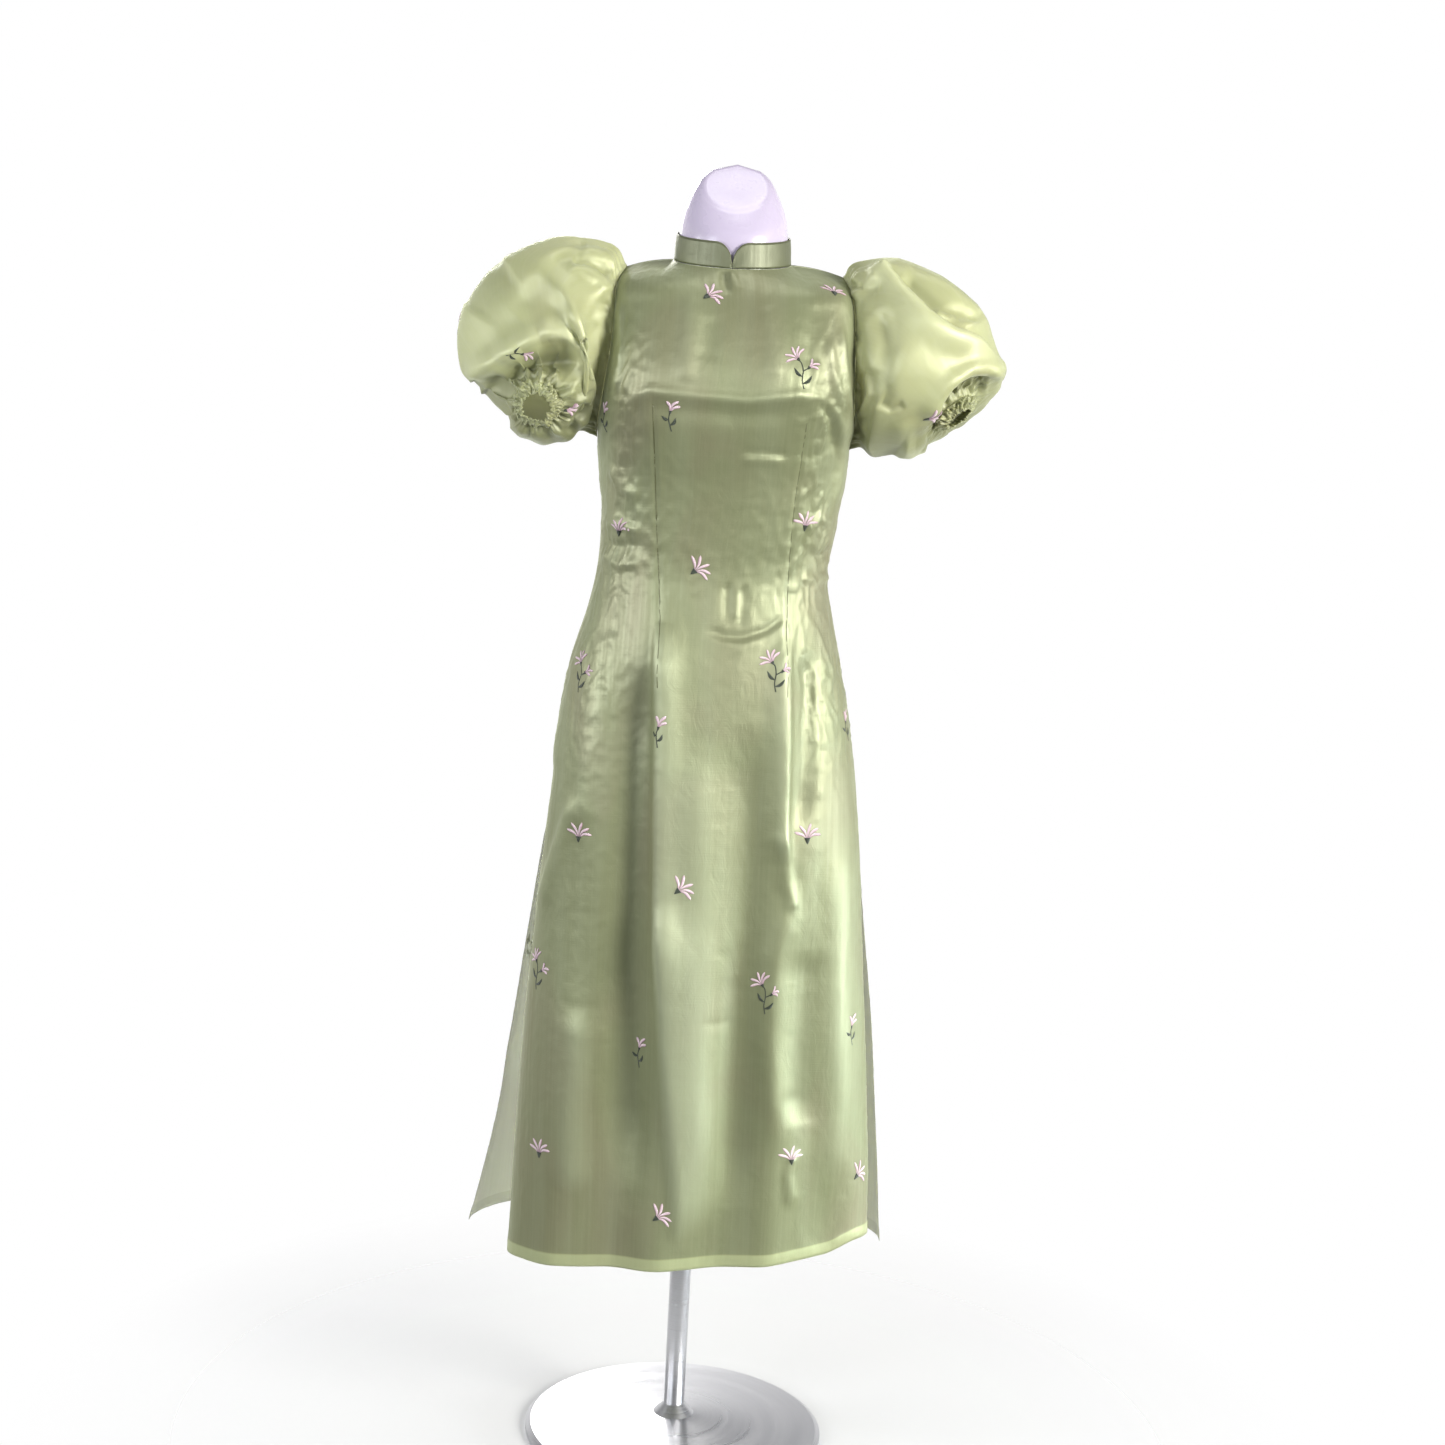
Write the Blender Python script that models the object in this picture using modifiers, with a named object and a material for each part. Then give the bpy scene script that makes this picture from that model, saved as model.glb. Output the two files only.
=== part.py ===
# Ao dai tunic with organza puff sleeves, standing on a limbless dress form.
# Metres, +Z up, front towards -Y, the wearer's left at +X, floor at z = 0.
import math
from collections import namedtuple

import bmesh
import bpy
from mathutils import Matrix, Vector

# Driving sizes
WALL = 0.0012
SEAM_HALF = 0.00025
SLEEVE_SEAM = 0.0009
FORM_INSET = 0.0022
HALF_COLUMNS = 12
NECK_COLUMNS = 5
SLEEVE_COLUMNS = 48
SLEEVE_ROWS = 12
CUFF_COLUMNS = 36
CUFF_ROWS = 3

# Neckline and shoulder
NECK_HALF = 0.0665
NECK_FRONT = 0.062
NECK_BACK = 0.058
NECK_Z = 1.409
NECK_DIP = 0.0075
SHOULDER_TIP = Vector((0.131, 0.0, 1.395))
SHOULDER_ARCH = 0.003
SHOULDER_DRIFT = 0.004

# Stand collar
COLLAR_HEIGHT = 0.028
COLLAR_WALL = 0.0016
COLLAR_LEAN = 0.002
COLLAR_CORNER = 0.020
COLLAR_CORNER_START = 0.003
COLLAR_COLUMNS = 16
COLLAR_ROWS = 4

# One row for each level of a panel: heights at its middle and its edge, half its width, its
# drift to one side, and how far forward or back its middle and its edge stand.
PanelRow = namedtuple("PanelRow", "z_mid z_edge half drift y_mid y_edge square")
FRONT_ROWS = (
    PanelRow(1.385, 1.377, 0.1325, 0.004, -0.080, -0.025, 2.3),
    PanelRow(1.360, 1.350, 0.1350, 0.006, -0.098, -0.040, 2.4),
    PanelRow(1.322, 1.305, 0.1375, 0.006, -0.114, -0.046, 2.5),
    PanelRow(1.282, 1.258, 0.1415, 0.004, -0.123, -0.038, 2.6),
    PanelRow(1.244, 1.222, 0.1440, 0.001, -0.121, -0.016, 2.5),
    PanelRow(1.205, 1.205, 0.1435, 0.000, -0.112, 0.0, 2.4),
    PanelRow(1.160, 1.160, 0.1385, 0.001, -0.101, 0.0, 2.3),
    PanelRow(1.105, 1.105, 0.1345, -0.001, -0.093, 0.0, 2.3),
    PanelRow(1.058, 1.058, 0.1325, -0.005, -0.090, 0.0, 2.3),
    PanelRow(1.010, 1.010, 0.1415, -0.005, -0.096, 0.0, 2.3),
    PanelRow(0.955, 0.955, 0.1555, -0.006, -0.106, -0.004, 2.3),
    PanelRow(0.880, 0.880, 0.1680, -0.003, -0.115, -0.012, 2.3),
    PanelRow(0.780, 0.780, 0.1800, -0.001, -0.121, -0.022, 2.3),
    PanelRow(0.660, 0.660, 0.1900, 0.000, -0.125, -0.031, 2.2),
    PanelRow(0.520, 0.520, 0.2010, 0.002, -0.128, -0.039, 2.2),
    PanelRow(0.380, 0.375, 0.2090, 0.005, -0.131, -0.045, 2.1),
    PanelRow(0.258, 0.250, 0.2125, 0.006, -0.132, -0.048, 2.1),
)
BACK_ROWS = (
    PanelRow(1.397, 1.378, 0.1325, 0.004, 0.076, 0.027, 2.3),
    PanelRow(1.368, 1.350, 0.1350, 0.006, 0.090, 0.044, 2.4),
    PanelRow(1.325, 1.305, 0.1375, 0.006, 0.099, 0.052, 2.5),
    PanelRow(1.282, 1.258, 0.1415, 0.004, 0.101, 0.044, 2.5),
    PanelRow(1.244, 1.222, 0.1440, 0.001, 0.096, 0.018, 2.4),
    PanelRow(1.205, 1.205, 0.1435, 0.000, 0.089, 0.0, 2.3),
    PanelRow(1.160, 1.160, 0.1385, 0.001, 0.080, 0.0, 2.3),
    PanelRow(1.105, 1.105, 0.1345, -0.001, 0.073, 0.0, 2.3),
    PanelRow(1.058, 1.058, 0.1325, -0.005, 0.072, 0.0, 2.3),
    PanelRow(1.010, 1.010, 0.1415, -0.005, 0.080, 0.0, 2.3),
    PanelRow(0.955, 0.955, 0.1555, -0.006, 0.094, 0.004, 2.3),
    PanelRow(0.880, 0.880, 0.1680, -0.003, 0.108, 0.010, 2.3),
    PanelRow(0.780, 0.780, 0.1800, -0.001, 0.115, 0.018, 2.3),
    PanelRow(0.660, 0.660, 0.1935, -0.001, 0.119, 0.025, 2.2),
    PanelRow(0.520, 0.520, 0.2120, 0.000, 0.123, 0.031, 2.2),
    PanelRow(0.380, 0.380, 0.2300, -0.003, 0.126, 0.036, 2.1),
    PanelRow(0.250, 0.240, 0.2510, -0.011, 0.128, 0.040, 2.1),
)
UNDERARM_ROW = 6
FINE_ROWS = 10
FORM_BOTTOM_ROW = 13

# The bust, and the soft folds of the skirt: where each lies, how wide it is, the height
# at which it starts and how far it stands out at the hem.
HEM_Z = 0.25
BUST_X = 0.074
BUST_Z = 1.268
BUST_REACH = 0.045
BUST_RISE = 0.004
Fold = namedtuple("Fold", "x width z_start rise")
FRONT_FOLDS = (
    Fold(-0.155, 0.030, 0.74, 0.007),
    Fold(-0.085, 0.026, 0.86, -0.008),
    Fold(-0.030, 0.030, 0.70, 0.006),
    Fold(0.040, 0.034, 0.62, -0.005),
    Fold(0.100, 0.026, 0.80, 0.007),
    Fold(0.165, 0.030, 0.70, -0.006),
)
BACK_FOLDS = (
    Fold(-0.180, 0.034, 0.70, 0.008),
    Fold(-0.105, 0.030, 0.84, -0.009),
    Fold(-0.045, 0.030, 0.74, 0.007),
    Fold(0.050, 0.034, 0.78, 0.008),
    Fold(0.120, 0.030, 0.82, -0.008),
    Fold(0.190, 0.032, 0.66, 0.007),
)

# One row for each ring of a puff sleeve: its centre, how far its axis has swung from
# straight out towards the front, how far it dips, and its half sizes up and across.
ARMHOLE_MIDDLE = Vector((0.131, 0.0, 1.305))
SleeveRing = namedtuple("SleeveRing", "out y z swing dip up across")
SLEEVE_RIGHT = (
    SleeveRing(0.150, -0.002, 1.316, 4, -6, 0.105, 0.066),
    SleeveRing(0.188, -0.006, 1.316, 18, 6, 0.111, 0.092),
    SleeveRing(0.226, -0.020, 1.304, 40, 16, 0.102, 0.110),
    SleeveRing(0.226, -0.040, 1.280, 60, 24, 0.084, 0.092),
    SleeveRing(0.208, -0.064, 1.250, 78, 28, 0.062, 0.060),
    SleeveRing(0.206, -0.080, 1.244, 84, 26, 0.042, 0.042),
    SleeveRing(0.208, -0.083, 1.244, 87, 24, 0.025, 0.025),
)
SLEEVE_LEFT = (
    SleeveRing(0.150, -0.001, 1.312, 2, -4, 0.103, 0.064),
    SleeveRing(0.186, -0.004, 1.308, 14, 8, 0.110, 0.088),
    SleeveRing(0.226, -0.014, 1.290, 24, 26, 0.100, 0.098),
    SleeveRing(0.260, -0.028, 1.262, 32, 42, 0.066, 0.072),
    SleeveRing(0.262, -0.036, 1.256, 32, 44, 0.046, 0.046),
    SleeveRing(0.258, -0.037, 1.257, 32, 45, 0.025, 0.025),
)

# Gathers round a sleeve: how many, how far they stand out, and the shares of the sleeve's
# length over which they grow and fade, at the armhole and at the cuff.
SLEEVE_GATHERS = 12
GATHER_RISE = 0.0035
ARMHOLE_GROW = 0.10
ARMHOLE_FADE = 0.45
CUFF_START = 0.55
CUFF_GROW = 0.35
RIM_START = 0.90
RIM_EASE = 0.60

# Gathered elastic cuff casing
CUFF_WIDTH = 0.011
CUFF_WALL = 0.0050
CUFF_BULGE = 0.0025
CUFF_SEAM = 0.0007
CUFF_RUFFLE = 0.0012

# Dress form neck: how far its foot keeps inside the collar, how near an edge lies to the
# neckline to belong to it, and its rings: height of the middle, half sizes, forward slope.
COLLAR_CLEAR = 0.95
NEAR_SIDE = 0.003
NEAR_BELOW = 0.020
NeckRing = namedtuple("NeckRing", "z half_x half_y slope")
NECK_RINGS = (
    NeckRing(1.424, 0.0590, 0.0540, 0.10),
    NeckRing(1.446, 0.0565, 0.0520, 0.22),
    NeckRing(1.474, 0.0500, 0.0470, 0.52),
    NeckRing(1.490, 0.0420, 0.0380, 0.74),
    NeckRing(1.494, 0.0370, 0.0330, 0.80),
)

# Stand of the dress form
BASE_RADIUS = 0.180
BASE_HEIGHT = 0.010
BASE_CROWN = 0.024
POLE_RADIUS = 0.0125
FLANGE_RADIUS = 0.045
FLANGE_HEIGHT = 0.008
STAND_GAP = 0.0003

# Concealed zip at the centre back: its slider, the pin on the slider and the pull tab
SLIDER_WIDTH = 0.0054
SLIDER_DEPTH = 0.0022
SLIDER_HEIGHT = 0.0080
SLIDER_PLACE = 0.80
SLIDER_GAP = 0.0004
LUG_THICK = 0.0010
LUG_HEIGHT = 0.0028
PIN_RADIUS = 0.0006
TAB_WIDTH = 0.0027
TAB_THICK = 0.0011
TAB_LENGTH = 0.0200
TAB_HOLE = 0.0010
TAB_EYE = 0.0019
TAB_GAP = 0.0004
JOIN = 0.0004


def spline(points, t):
    """A point on the smooth curve through the points, t running from 0 to their last index."""
    k = min(int(t), len(points) - 2)
    f = t - k
    b, c = points[k], points[k + 1]
    a = points[k - 1] if k > 0 else b * 2 - c
    d = points[k + 2] if k + 2 < len(points) else c * 2 - b
    return (
        b * 2 + (c - a) * f + (a * 2 - b * 5 + c * 4 - d) * f**2 + (b * 3 - a - c * 3 + d) * f**3
    ) * 0.5


def grid_rows(rows):
    """How many rows of faces a panel has down to this row: two for each of the first ones."""
    return rows + FINE_ROWS


def level(v, rows):
    """The place down the rows of a grid line, v running from 1 at the top to 0."""
    k = round((1 - v) * grid_rows(rows))
    return k / 2 if k <= 2 * FINE_ROWS else k - FINE_ROWS


def ease(x):
    x = min(max(x, 0.0), 1.0)
    return x * x * (3 - 2 * x)


def mirrored(point, side):
    return Vector((point.x * side, point.y, point.z))


def neckline(angle):
    """A point on the neckline, its angle measured from the centre front."""
    depth = NECK_FRONT if math.cos(angle) > 0 else NECK_BACK
    return Vector((
        NECK_HALF * math.sin(angle),
        -depth * math.cos(angle),
        NECK_Z - NECK_DIP * math.cos(angle),
    ))


def top_edge(u, facing):
    """The neckline and then the shoulder seam, u running from one end to the other."""
    across = abs(u)
    corner = NECK_COLUMNS / HALF_COLUMNS
    if across <= corner:
        turn = across / corner * math.pi / 2
        place = neckline(turn if facing < 0 else math.pi - turn)
        place.x = math.copysign(place.x, u)
    else:
        along = (across - corner) / (1 - corner)
        place = neckline(math.pi / 2).lerp(SHOULDER_TIP, along)
        place.z += SHOULDER_ARCH * math.sin(along * math.pi)
        place.x = math.copysign(place.x, u) + SHOULDER_DRIFT * along
    return place


def section_point(row, u, closed_side):
    turn = abs(u) * math.pi / 2
    power = 2 / row.square
    wide = math.sin(turn) ** power
    deep = max(math.cos(turn), 0.0) ** power
    y_edge = 0.0 if closed_side else row.y_edge
    return Vector((
        row.drift + math.copysign(row.half * wide, u),
        y_edge + (row.y_mid - y_edge) * deep,
        row.z_edge + (row.z_mid - row.z_edge) * deep,
    ))


def bust_rise(x, z):
    side = (abs(x) - BUST_X) / BUST_REACH
    up = (z - BUST_Z) / BUST_REACH
    return BUST_RISE * math.exp(-side * side - up * up)


def fold_rise(folds, x, z):
    total = 0.0
    for fold in folds:
        grown = ease((fold.z_start - z) / (fold.z_start - HEM_Z))
        away = (x - fold.x) / fold.width
        total += fold.rise * grown * math.exp(-away * away)
    return total


def panel_point(facing, u, t, for_form=False):
    """A point of the front (facing -1) or back (facing +1): u across from -1 to 1, t down the rows."""
    rows = FRONT_ROWS if facing < 0 else BACK_ROWS
    column = [top_edge(u, facing)]
    for k, row in enumerate(rows):
        column.append(section_point(row, u, for_form and k + 1 >= UNDERARM_ROW))
    point = spline(column, t)
    point.y = facing * max(facing * point.y, 0.0)
    if facing < 0:
        point.y -= bust_rise(point.x, point.z)
    if not for_form:
        folds = FRONT_FOLDS if facing < 0 else BACK_FOLDS
        point.y += facing * fold_rise(folds, point.x, point.z)
        point.y += facing * SEAM_HALF
    return point


def armhole_point(turn, side):
    """A point on an armhole, as seen mirrored to +X: from the shoulder tip round through the back."""
    facing = 1 if turn <= 0.5 else -1
    down = 2 * turn if facing > 0 else 2 * (1 - turn)
    return mirrored(panel_point(facing, side, UNDERARM_ROW * down, for_form=True), side)


def ring_point(ring, turn):
    angle = turn * 2 * math.pi
    swing, dip = math.radians(ring.swing), math.radians(ring.dip)
    up = Vector((
        math.sin(dip) * math.cos(swing),
        -math.sin(dip) * math.sin(swing),
        math.cos(dip),
    ))
    across = Vector((math.sin(swing), math.cos(swing), 0))
    centre = Vector((ring.out, ring.y, ring.z))
    return centre + up * (ring.up * math.cos(angle)) + across * (ring.across * math.sin(angle))


def gather_wave(turn):
    """Uneven gathers: between -1 and 1, with SLEEVE_GATHERS waves in one turn."""
    angle = turn * 2 * math.pi
    return math.cos(SLEEVE_GATHERS * angle + 0.5 * math.sin(2 * angle + 1) + 0.3 * math.sin(3 * angle))


def sleeve_point(rings, side, turn, t):
    """A point of a sleeve at +X: turn once round, t from 0 at the armhole to the number of rings."""
    start = armhole_point(turn, side) + Vector((SLEEVE_SEAM, 0, 0))
    column = [start] + [ring_point(ring, turn) for ring in rings]
    point = spline(column, t)
    centres = [ARMHOLE_MIDDLE] + [Vector((ring.out, ring.y, ring.z)) for ring in rings]
    outward = (point - spline(centres, t)).normalized()
    share = t / len(rings)
    at_seam = ease(share / ARMHOLE_GROW) * (1 - ease((share - ARMHOLE_GROW) / ARMHOLE_FADE))
    at_rim = RIM_EASE * ease((share - RIM_START) / (1 - RIM_START))
    at_cuff = ease((share - CUFF_START) / CUFF_GROW) * (1 - at_rim)
    return point + outward * (GATHER_RISE * (at_seam + at_cuff) * gather_wave(turn))


def cuff_point(rings, turn, along):
    """A point of a cuff at +X, along running from 0 at the sleeve to 1 at the open edge."""
    last = rings[-1]
    rim = ring_point(last, turn)
    centre = Vector((last.out, last.y, last.z))
    swing, dip = math.radians(last.swing), math.radians(last.dip)
    axis = Vector((
        math.cos(dip) * math.cos(swing),
        -math.cos(dip) * math.sin(swing),
        -math.sin(dip),
    ))
    radial = (rim - centre).normalized()
    out = (CUFF_BULGE + CUFF_RUFFLE * gather_wave(turn)) * math.sin(along * math.pi)
    return rim + axis * (CUFF_SEAM + along * CUFF_WIDTH) + radial * out


def collar_point(along, up):
    """A point of the collar half at +X: along from the centre front to the back, up from 0 to 1."""
    around = NECK_HALF * math.pi
    gap_turn = SEAM_HALF / NECK_HALF
    angle = gap_turn + along * (math.pi - 2 * gap_turn)
    base = neckline(angle)
    walked = along * around
    height = COLLAR_HEIGHT
    if walked < COLLAR_CORNER:
        rounded = math.sqrt(1 - (1 - walked / COLLAR_CORNER) ** 2)
        height = COLLAR_CORNER_START + (COLLAR_HEIGHT - COLLAR_CORNER_START) * rounded
    inward = Vector((-base.x, -base.y, 0)).normalized()
    rise = 2 * SEAM_HALF + up * height
    return base + inward * (COLLAR_LEAN * rise / COLLAR_HEIGHT) + Vector((0, 0, rise))


def material(name, colour, roughness, metallic=0.0):
    made = bpy.data.materials.new(name)
    made.use_nodes = True
    shader = made.node_tree.nodes["Principled BSDF"]
    shader.inputs["Base Color"].default_value = (*colour, 1)
    shader.inputs["Roughness"].default_value = roughness
    shader.inputs["Metallic"].default_value = metallic
    return made


def add_object(name, mesh, look, collection):
    data = bpy.data.meshes.new(name)
    mesh.to_mesh(data)
    mesh.free()
    made = bpy.data.objects.new(name, data)
    data.materials.append(look)
    data.shade_smooth()
    data.set_sharp_from_angle(angle=math.radians(40))
    collection.objects.link(made)
    return made


def grid_on(mesh, columns, rows, place, flip):
    """Adds a grid of triangles and moves each of its points to place(u, v), both running from 0 to 1."""
    made = bmesh.ops.create_grid(mesh, x_segments=columns, y_segments=rows, size=0.5)
    verts = made["verts"]
    for vert in verts:
        vert.co = place(vert.co.x + 0.5, vert.co.y + 0.5)
    faces = list({face for vert in verts for face in vert.link_faces})
    if flip:
        bmesh.ops.reverse_faces(mesh, faces=faces)
    bmesh.ops.triangulate(mesh, faces=faces, quad_method="SHORT_EDGE")


def cloth(name, columns, rows, place, look, collection, flip=False, wall=WALL, facing=0):
    """A sheet of cloth on its outer surface, its wall inside, and cut off square at the seam plane."""
    mesh = bmesh.new()
    grid_on(mesh, columns, rows, place, flip)
    bmesh.ops.remove_doubles(mesh, verts=mesh.verts, dist=1e-6)
    made = add_object(name, mesh, look, collection)
    solidify = made.modifiers.new("Wall", "SOLIDIFY")
    solidify.thickness = wall
    solidify.offset = -1
    if facing:
        solid = bpy.data.meshes.new_from_object(made.evaluated_get(bpy.context.evaluated_depsgraph_get()))
        for vert in solid.vertices:
            vert.co.y = facing * max(facing * vert.co.y, SEAM_HALF)
        made.modifiers.clear()
        made.data = solid
    return made


def make_body(silk, collection):
    last = len(FRONT_ROWS)

    def front(u, v):
        return panel_point(-1, 2 * u - 1, level(v, last))

    def back_left(u, v):
        return panel_point(1, u, level(v, last)) + Vector((SEAM_HALF, 0, 0))

    def back_right(u, v):
        return panel_point(1, -u, level(v, last)) - Vector((SEAM_HALF, 0, 0))

    cloth("front", 2 * HALF_COLUMNS, grid_rows(last), front, silk, collection, facing=-1)
    cloth("back_left", HALF_COLUMNS, grid_rows(last), back_left, silk, collection, flip=True, facing=1)
    cloth("back_right", HALF_COLUMNS, grid_rows(last), back_right, silk, collection, facing=1)


def make_sleeve(name, rings, side, organza, silk, collection):
    def sleeve(u, v):
        return mirrored(sleeve_point(rings, side, u, len(rings) * v), side)

    def cuff(u, v):
        return mirrored(cuff_point(rings, u, v), side)

    flip = side > 0
    cloth("sleeve_" + name, SLEEVE_COLUMNS, SLEEVE_ROWS, sleeve, organza, collection, flip)
    cloth("cuff_" + name, CUFF_COLUMNS, CUFF_ROWS, cuff, silk, collection, flip, CUFF_WALL)


def make_collar(name, side, silk, collection):
    def half(u, v):
        return mirrored(collar_point(u, v), side)

    cloth("collar_" + name, COLLAR_COLUMNS, COLLAR_ROWS, half, silk, collection, side < 0, COLLAR_WALL)


def neck_ring_point(ring, spot):
    around = math.atan2(spot.x / NECK_HALF, -spot.y / NECK_FRONT)
    y = -ring.half_y * math.cos(around)
    return Vector((ring.half_x * math.sin(around), y, ring.z + ring.slope * y))


def make_form(plastic, collection):
    """The torso: the body's own shape moved in, closed at the armholes and hip, with a neck."""
    mesh = bmesh.new()
    for facing in (-1, 1):
        def surface(u, v, facing=facing):
            return panel_point(facing, 2 * u - 1, level(v, FORM_BOTTOM_ROW), for_form=True)

        grid_on(mesh, 2 * HALF_COLUMNS, grid_rows(FORM_BOTTOM_ROW), surface, facing > 0)
    bmesh.ops.remove_doubles(mesh, verts=mesh.verts, dist=1e-5)
    mesh.normal_update()
    moved = {vert: vert.co - vert.normal * FORM_INSET for vert in mesh.verts}
    for vert, place in moved.items():
        vert.co = place
    loop = [edge for edge in mesh.edges if edge.is_boundary and is_neckline(edge)]
    for vert in {vert for edge in loop for vert in edge.verts}:
        vert.co.x *= COLLAR_CLEAR
        vert.co.y *= COLLAR_CLEAR
    for ring in NECK_RINGS:
        grown = bmesh.ops.extrude_edge_only(mesh, edges=loop)["geom"]
        for item in grown:
            if isinstance(item, bmesh.types.BMVert):
                item.co = neck_ring_point(ring, item.co)
        loop = [item for item in grown if isinstance(item, bmesh.types.BMEdge)]
    edges = [edge for edge in mesh.edges if edge.is_boundary]
    bmesh.ops.holes_fill(mesh, edges=edges, sides=0)
    bmesh.ops.recalc_face_normals(mesh, faces=mesh.faces)
    add_object("form_torso", mesh, plastic, collection)


def is_neckline(edge):
    return all(
        abs(vert.co.x) < NECK_HALF + NEAR_SIDE and vert.co.z > NECK_Z - NEAR_BELOW
        for vert in edge.verts
    )


def turned(name, profile, look, collection, steps):
    """A solid turned round the Z axis; its profile runs down the outer side, top to bottom."""
    mesh = bmesh.new()
    verts = [mesh.verts.new((radius, 0, z)) for radius, z in profile]
    for upper, lower in zip(verts, verts[1:]):
        mesh.edges.new((upper, lower))
    made = add_object(name, mesh, look, collection)
    screw = made.modifiers.new("Turn", "SCREW")
    screw.steps = steps
    screw.render_steps = steps
    screw.use_merge_vertices = True
    screw.merge_threshold = 0.0001
    return made


def make_stand(steel, collection):
    top = FRONT_ROWS[FORM_BOTTOM_ROW - 1].z_mid - STAND_GAP
    profile = (
        (0, top),
        (FLANGE_RADIUS, top),
        (FLANGE_RADIUS, top - FLANGE_HEIGHT),
        (POLE_RADIUS + 0.004, top - FLANGE_HEIGHT - 0.003),
        (POLE_RADIUS, top - FLANGE_HEIGHT - 0.010),
        (POLE_RADIUS, BASE_CROWN + 0.012),
        (POLE_RADIUS + 0.012, BASE_CROWN),
        (BASE_RADIUS * 0.55, BASE_HEIGHT + 0.004),
        (BASE_RADIUS - 0.006, BASE_HEIGHT),
        (BASE_RADIUS, BASE_HEIGHT - 0.004),
        (BASE_RADIUS, 0),
        (0, 0),
    )
    turned("form_stand", profile, steel, collection, 32)


def box(name, size, place, look, collection):
    mesh = bmesh.new()
    bmesh.ops.create_cube(mesh, size=1)
    bmesh.ops.scale(mesh, vec=size, verts=mesh.verts)
    bmesh.ops.translate(mesh, vec=place, verts=mesh.verts)
    return add_object(name, mesh, look, collection)


def rod_across(name, radius, length, place, look, collection):
    """A round rod along X."""
    mesh = bmesh.new()
    bmesh.ops.create_cone(
        mesh, cap_ends=True, segments=16, radius1=radius, radius2=radius, depth=length
    )
    bmesh.ops.rotate(mesh, verts=mesh.verts, matrix=Matrix.Rotation(math.pi / 2, 3, "Y"))
    bmesh.ops.translate(mesh, vec=place, verts=mesh.verts)
    return add_object(name, mesh, look, collection)


def combine(target, other, operation):
    made = target.modifiers.new(operation.title() + " " + other.name, "BOOLEAN")
    made.operation = operation
    made.solver = "EXACT"
    made.object = other
    other.hide_render = True
    other.display_type = "WIRE"


def make_zip(enamel, collection, cutters):
    """The slider stays closed high on the collar; its pull tab turns on the slider's pin."""
    back = collar_point(1.0, SLIDER_PLACE)
    middle = Vector((0, back.y + SLIDER_GAP + SLIDER_DEPTH / 2, back.z))
    size = (SLIDER_WIDTH, SLIDER_DEPTH, SLIDER_HEIGHT)
    slider = box("zip_slider", size, middle, enamel, collection)
    reach = SLIDER_DEPTH / 2 + TAB_EYE + TAB_GAP
    hinge = middle + Vector((0, reach, 0))
    lug_depth = TAB_EYE + TAB_GAP + 2 * PIN_RADIUS + JOIN
    for name, side in (("lug_right", -1), ("lug_left", 1)):
        x = side * (SLIDER_WIDTH - LUG_THICK) / 2
        place = middle + Vector((x, SLIDER_DEPTH / 2 - JOIN + lug_depth / 2, 0))
        lug = box(name, (LUG_THICK, lug_depth, LUG_HEIGHT), place, enamel, cutters)
        combine(slider, lug, "UNION")
    pin = rod_across("pin", PIN_RADIUS, SLIDER_WIDTH - LUG_THICK, hinge, enamel, cutters)
    combine(slider, pin, "UNION")
    plate_middle = Vector((0, 0, -TAB_LENGTH / 2))
    tab = box("zip_pull_tab", (TAB_WIDTH, TAB_THICK, TAB_LENGTH), plate_middle, enamel, collection)
    eye = rod_across("eye", TAB_EYE, TAB_WIDTH, Vector(), enamel, cutters)
    hole = rod_across("eye_hole", TAB_HOLE, 2 * TAB_WIDTH, Vector(), enamel, cutters)
    combine(tab, eye, "UNION")
    combine(tab, hole, "DIFFERENCE")
    for item in (tab, eye, hole):
        item.location = hinge


def main():
    for old in list(bpy.data.objects):
        bpy.data.objects.remove(old, do_unlink=True)
    garment = bpy.data.collections.new("ao_dai_tunic")
    cutters = bpy.data.collections.new("cutters")
    for collection in (garment, cutters):
        bpy.context.scene.collection.children.link(collection)
    silk = material("silk", (0.33, 0.36, 0.17), 0.38)
    organza = material("organza", (0.46, 0.51, 0.24), 0.42)
    plastic = material("form_plastic", (0.80, 0.78, 0.90), 0.25)
    steel = material("stand_steel", (0.62, 0.62, 0.64), 0.3, 1.0)
    enamel = material("zip_enamel", (0.36, 0.38, 0.20), 0.35)
    make_body(silk, garment)
    make_sleeve("right", SLEEVE_RIGHT, -1, organza, silk, garment)
    make_sleeve("left", SLEEVE_LEFT, 1, organza, silk, garment)
    make_collar("right", -1, silk, garment)
    make_collar("left", 1, silk, garment)
    make_zip(enamel, garment, cutters)
    make_form(plastic, garment)
    make_stand(steel, garment)


main()
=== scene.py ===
# Ao dai tunic with organza puff sleeves on a limbless dress form: the looks round the packed
# parts. Metres, +Z up, front towards -Y, the wearer's left at +X.
import math

import bmesh
import bpy
import numpy as np
from mathutils import Matrix, Vector, noise
from mathutils.bvhtree import BVHTree


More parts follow.
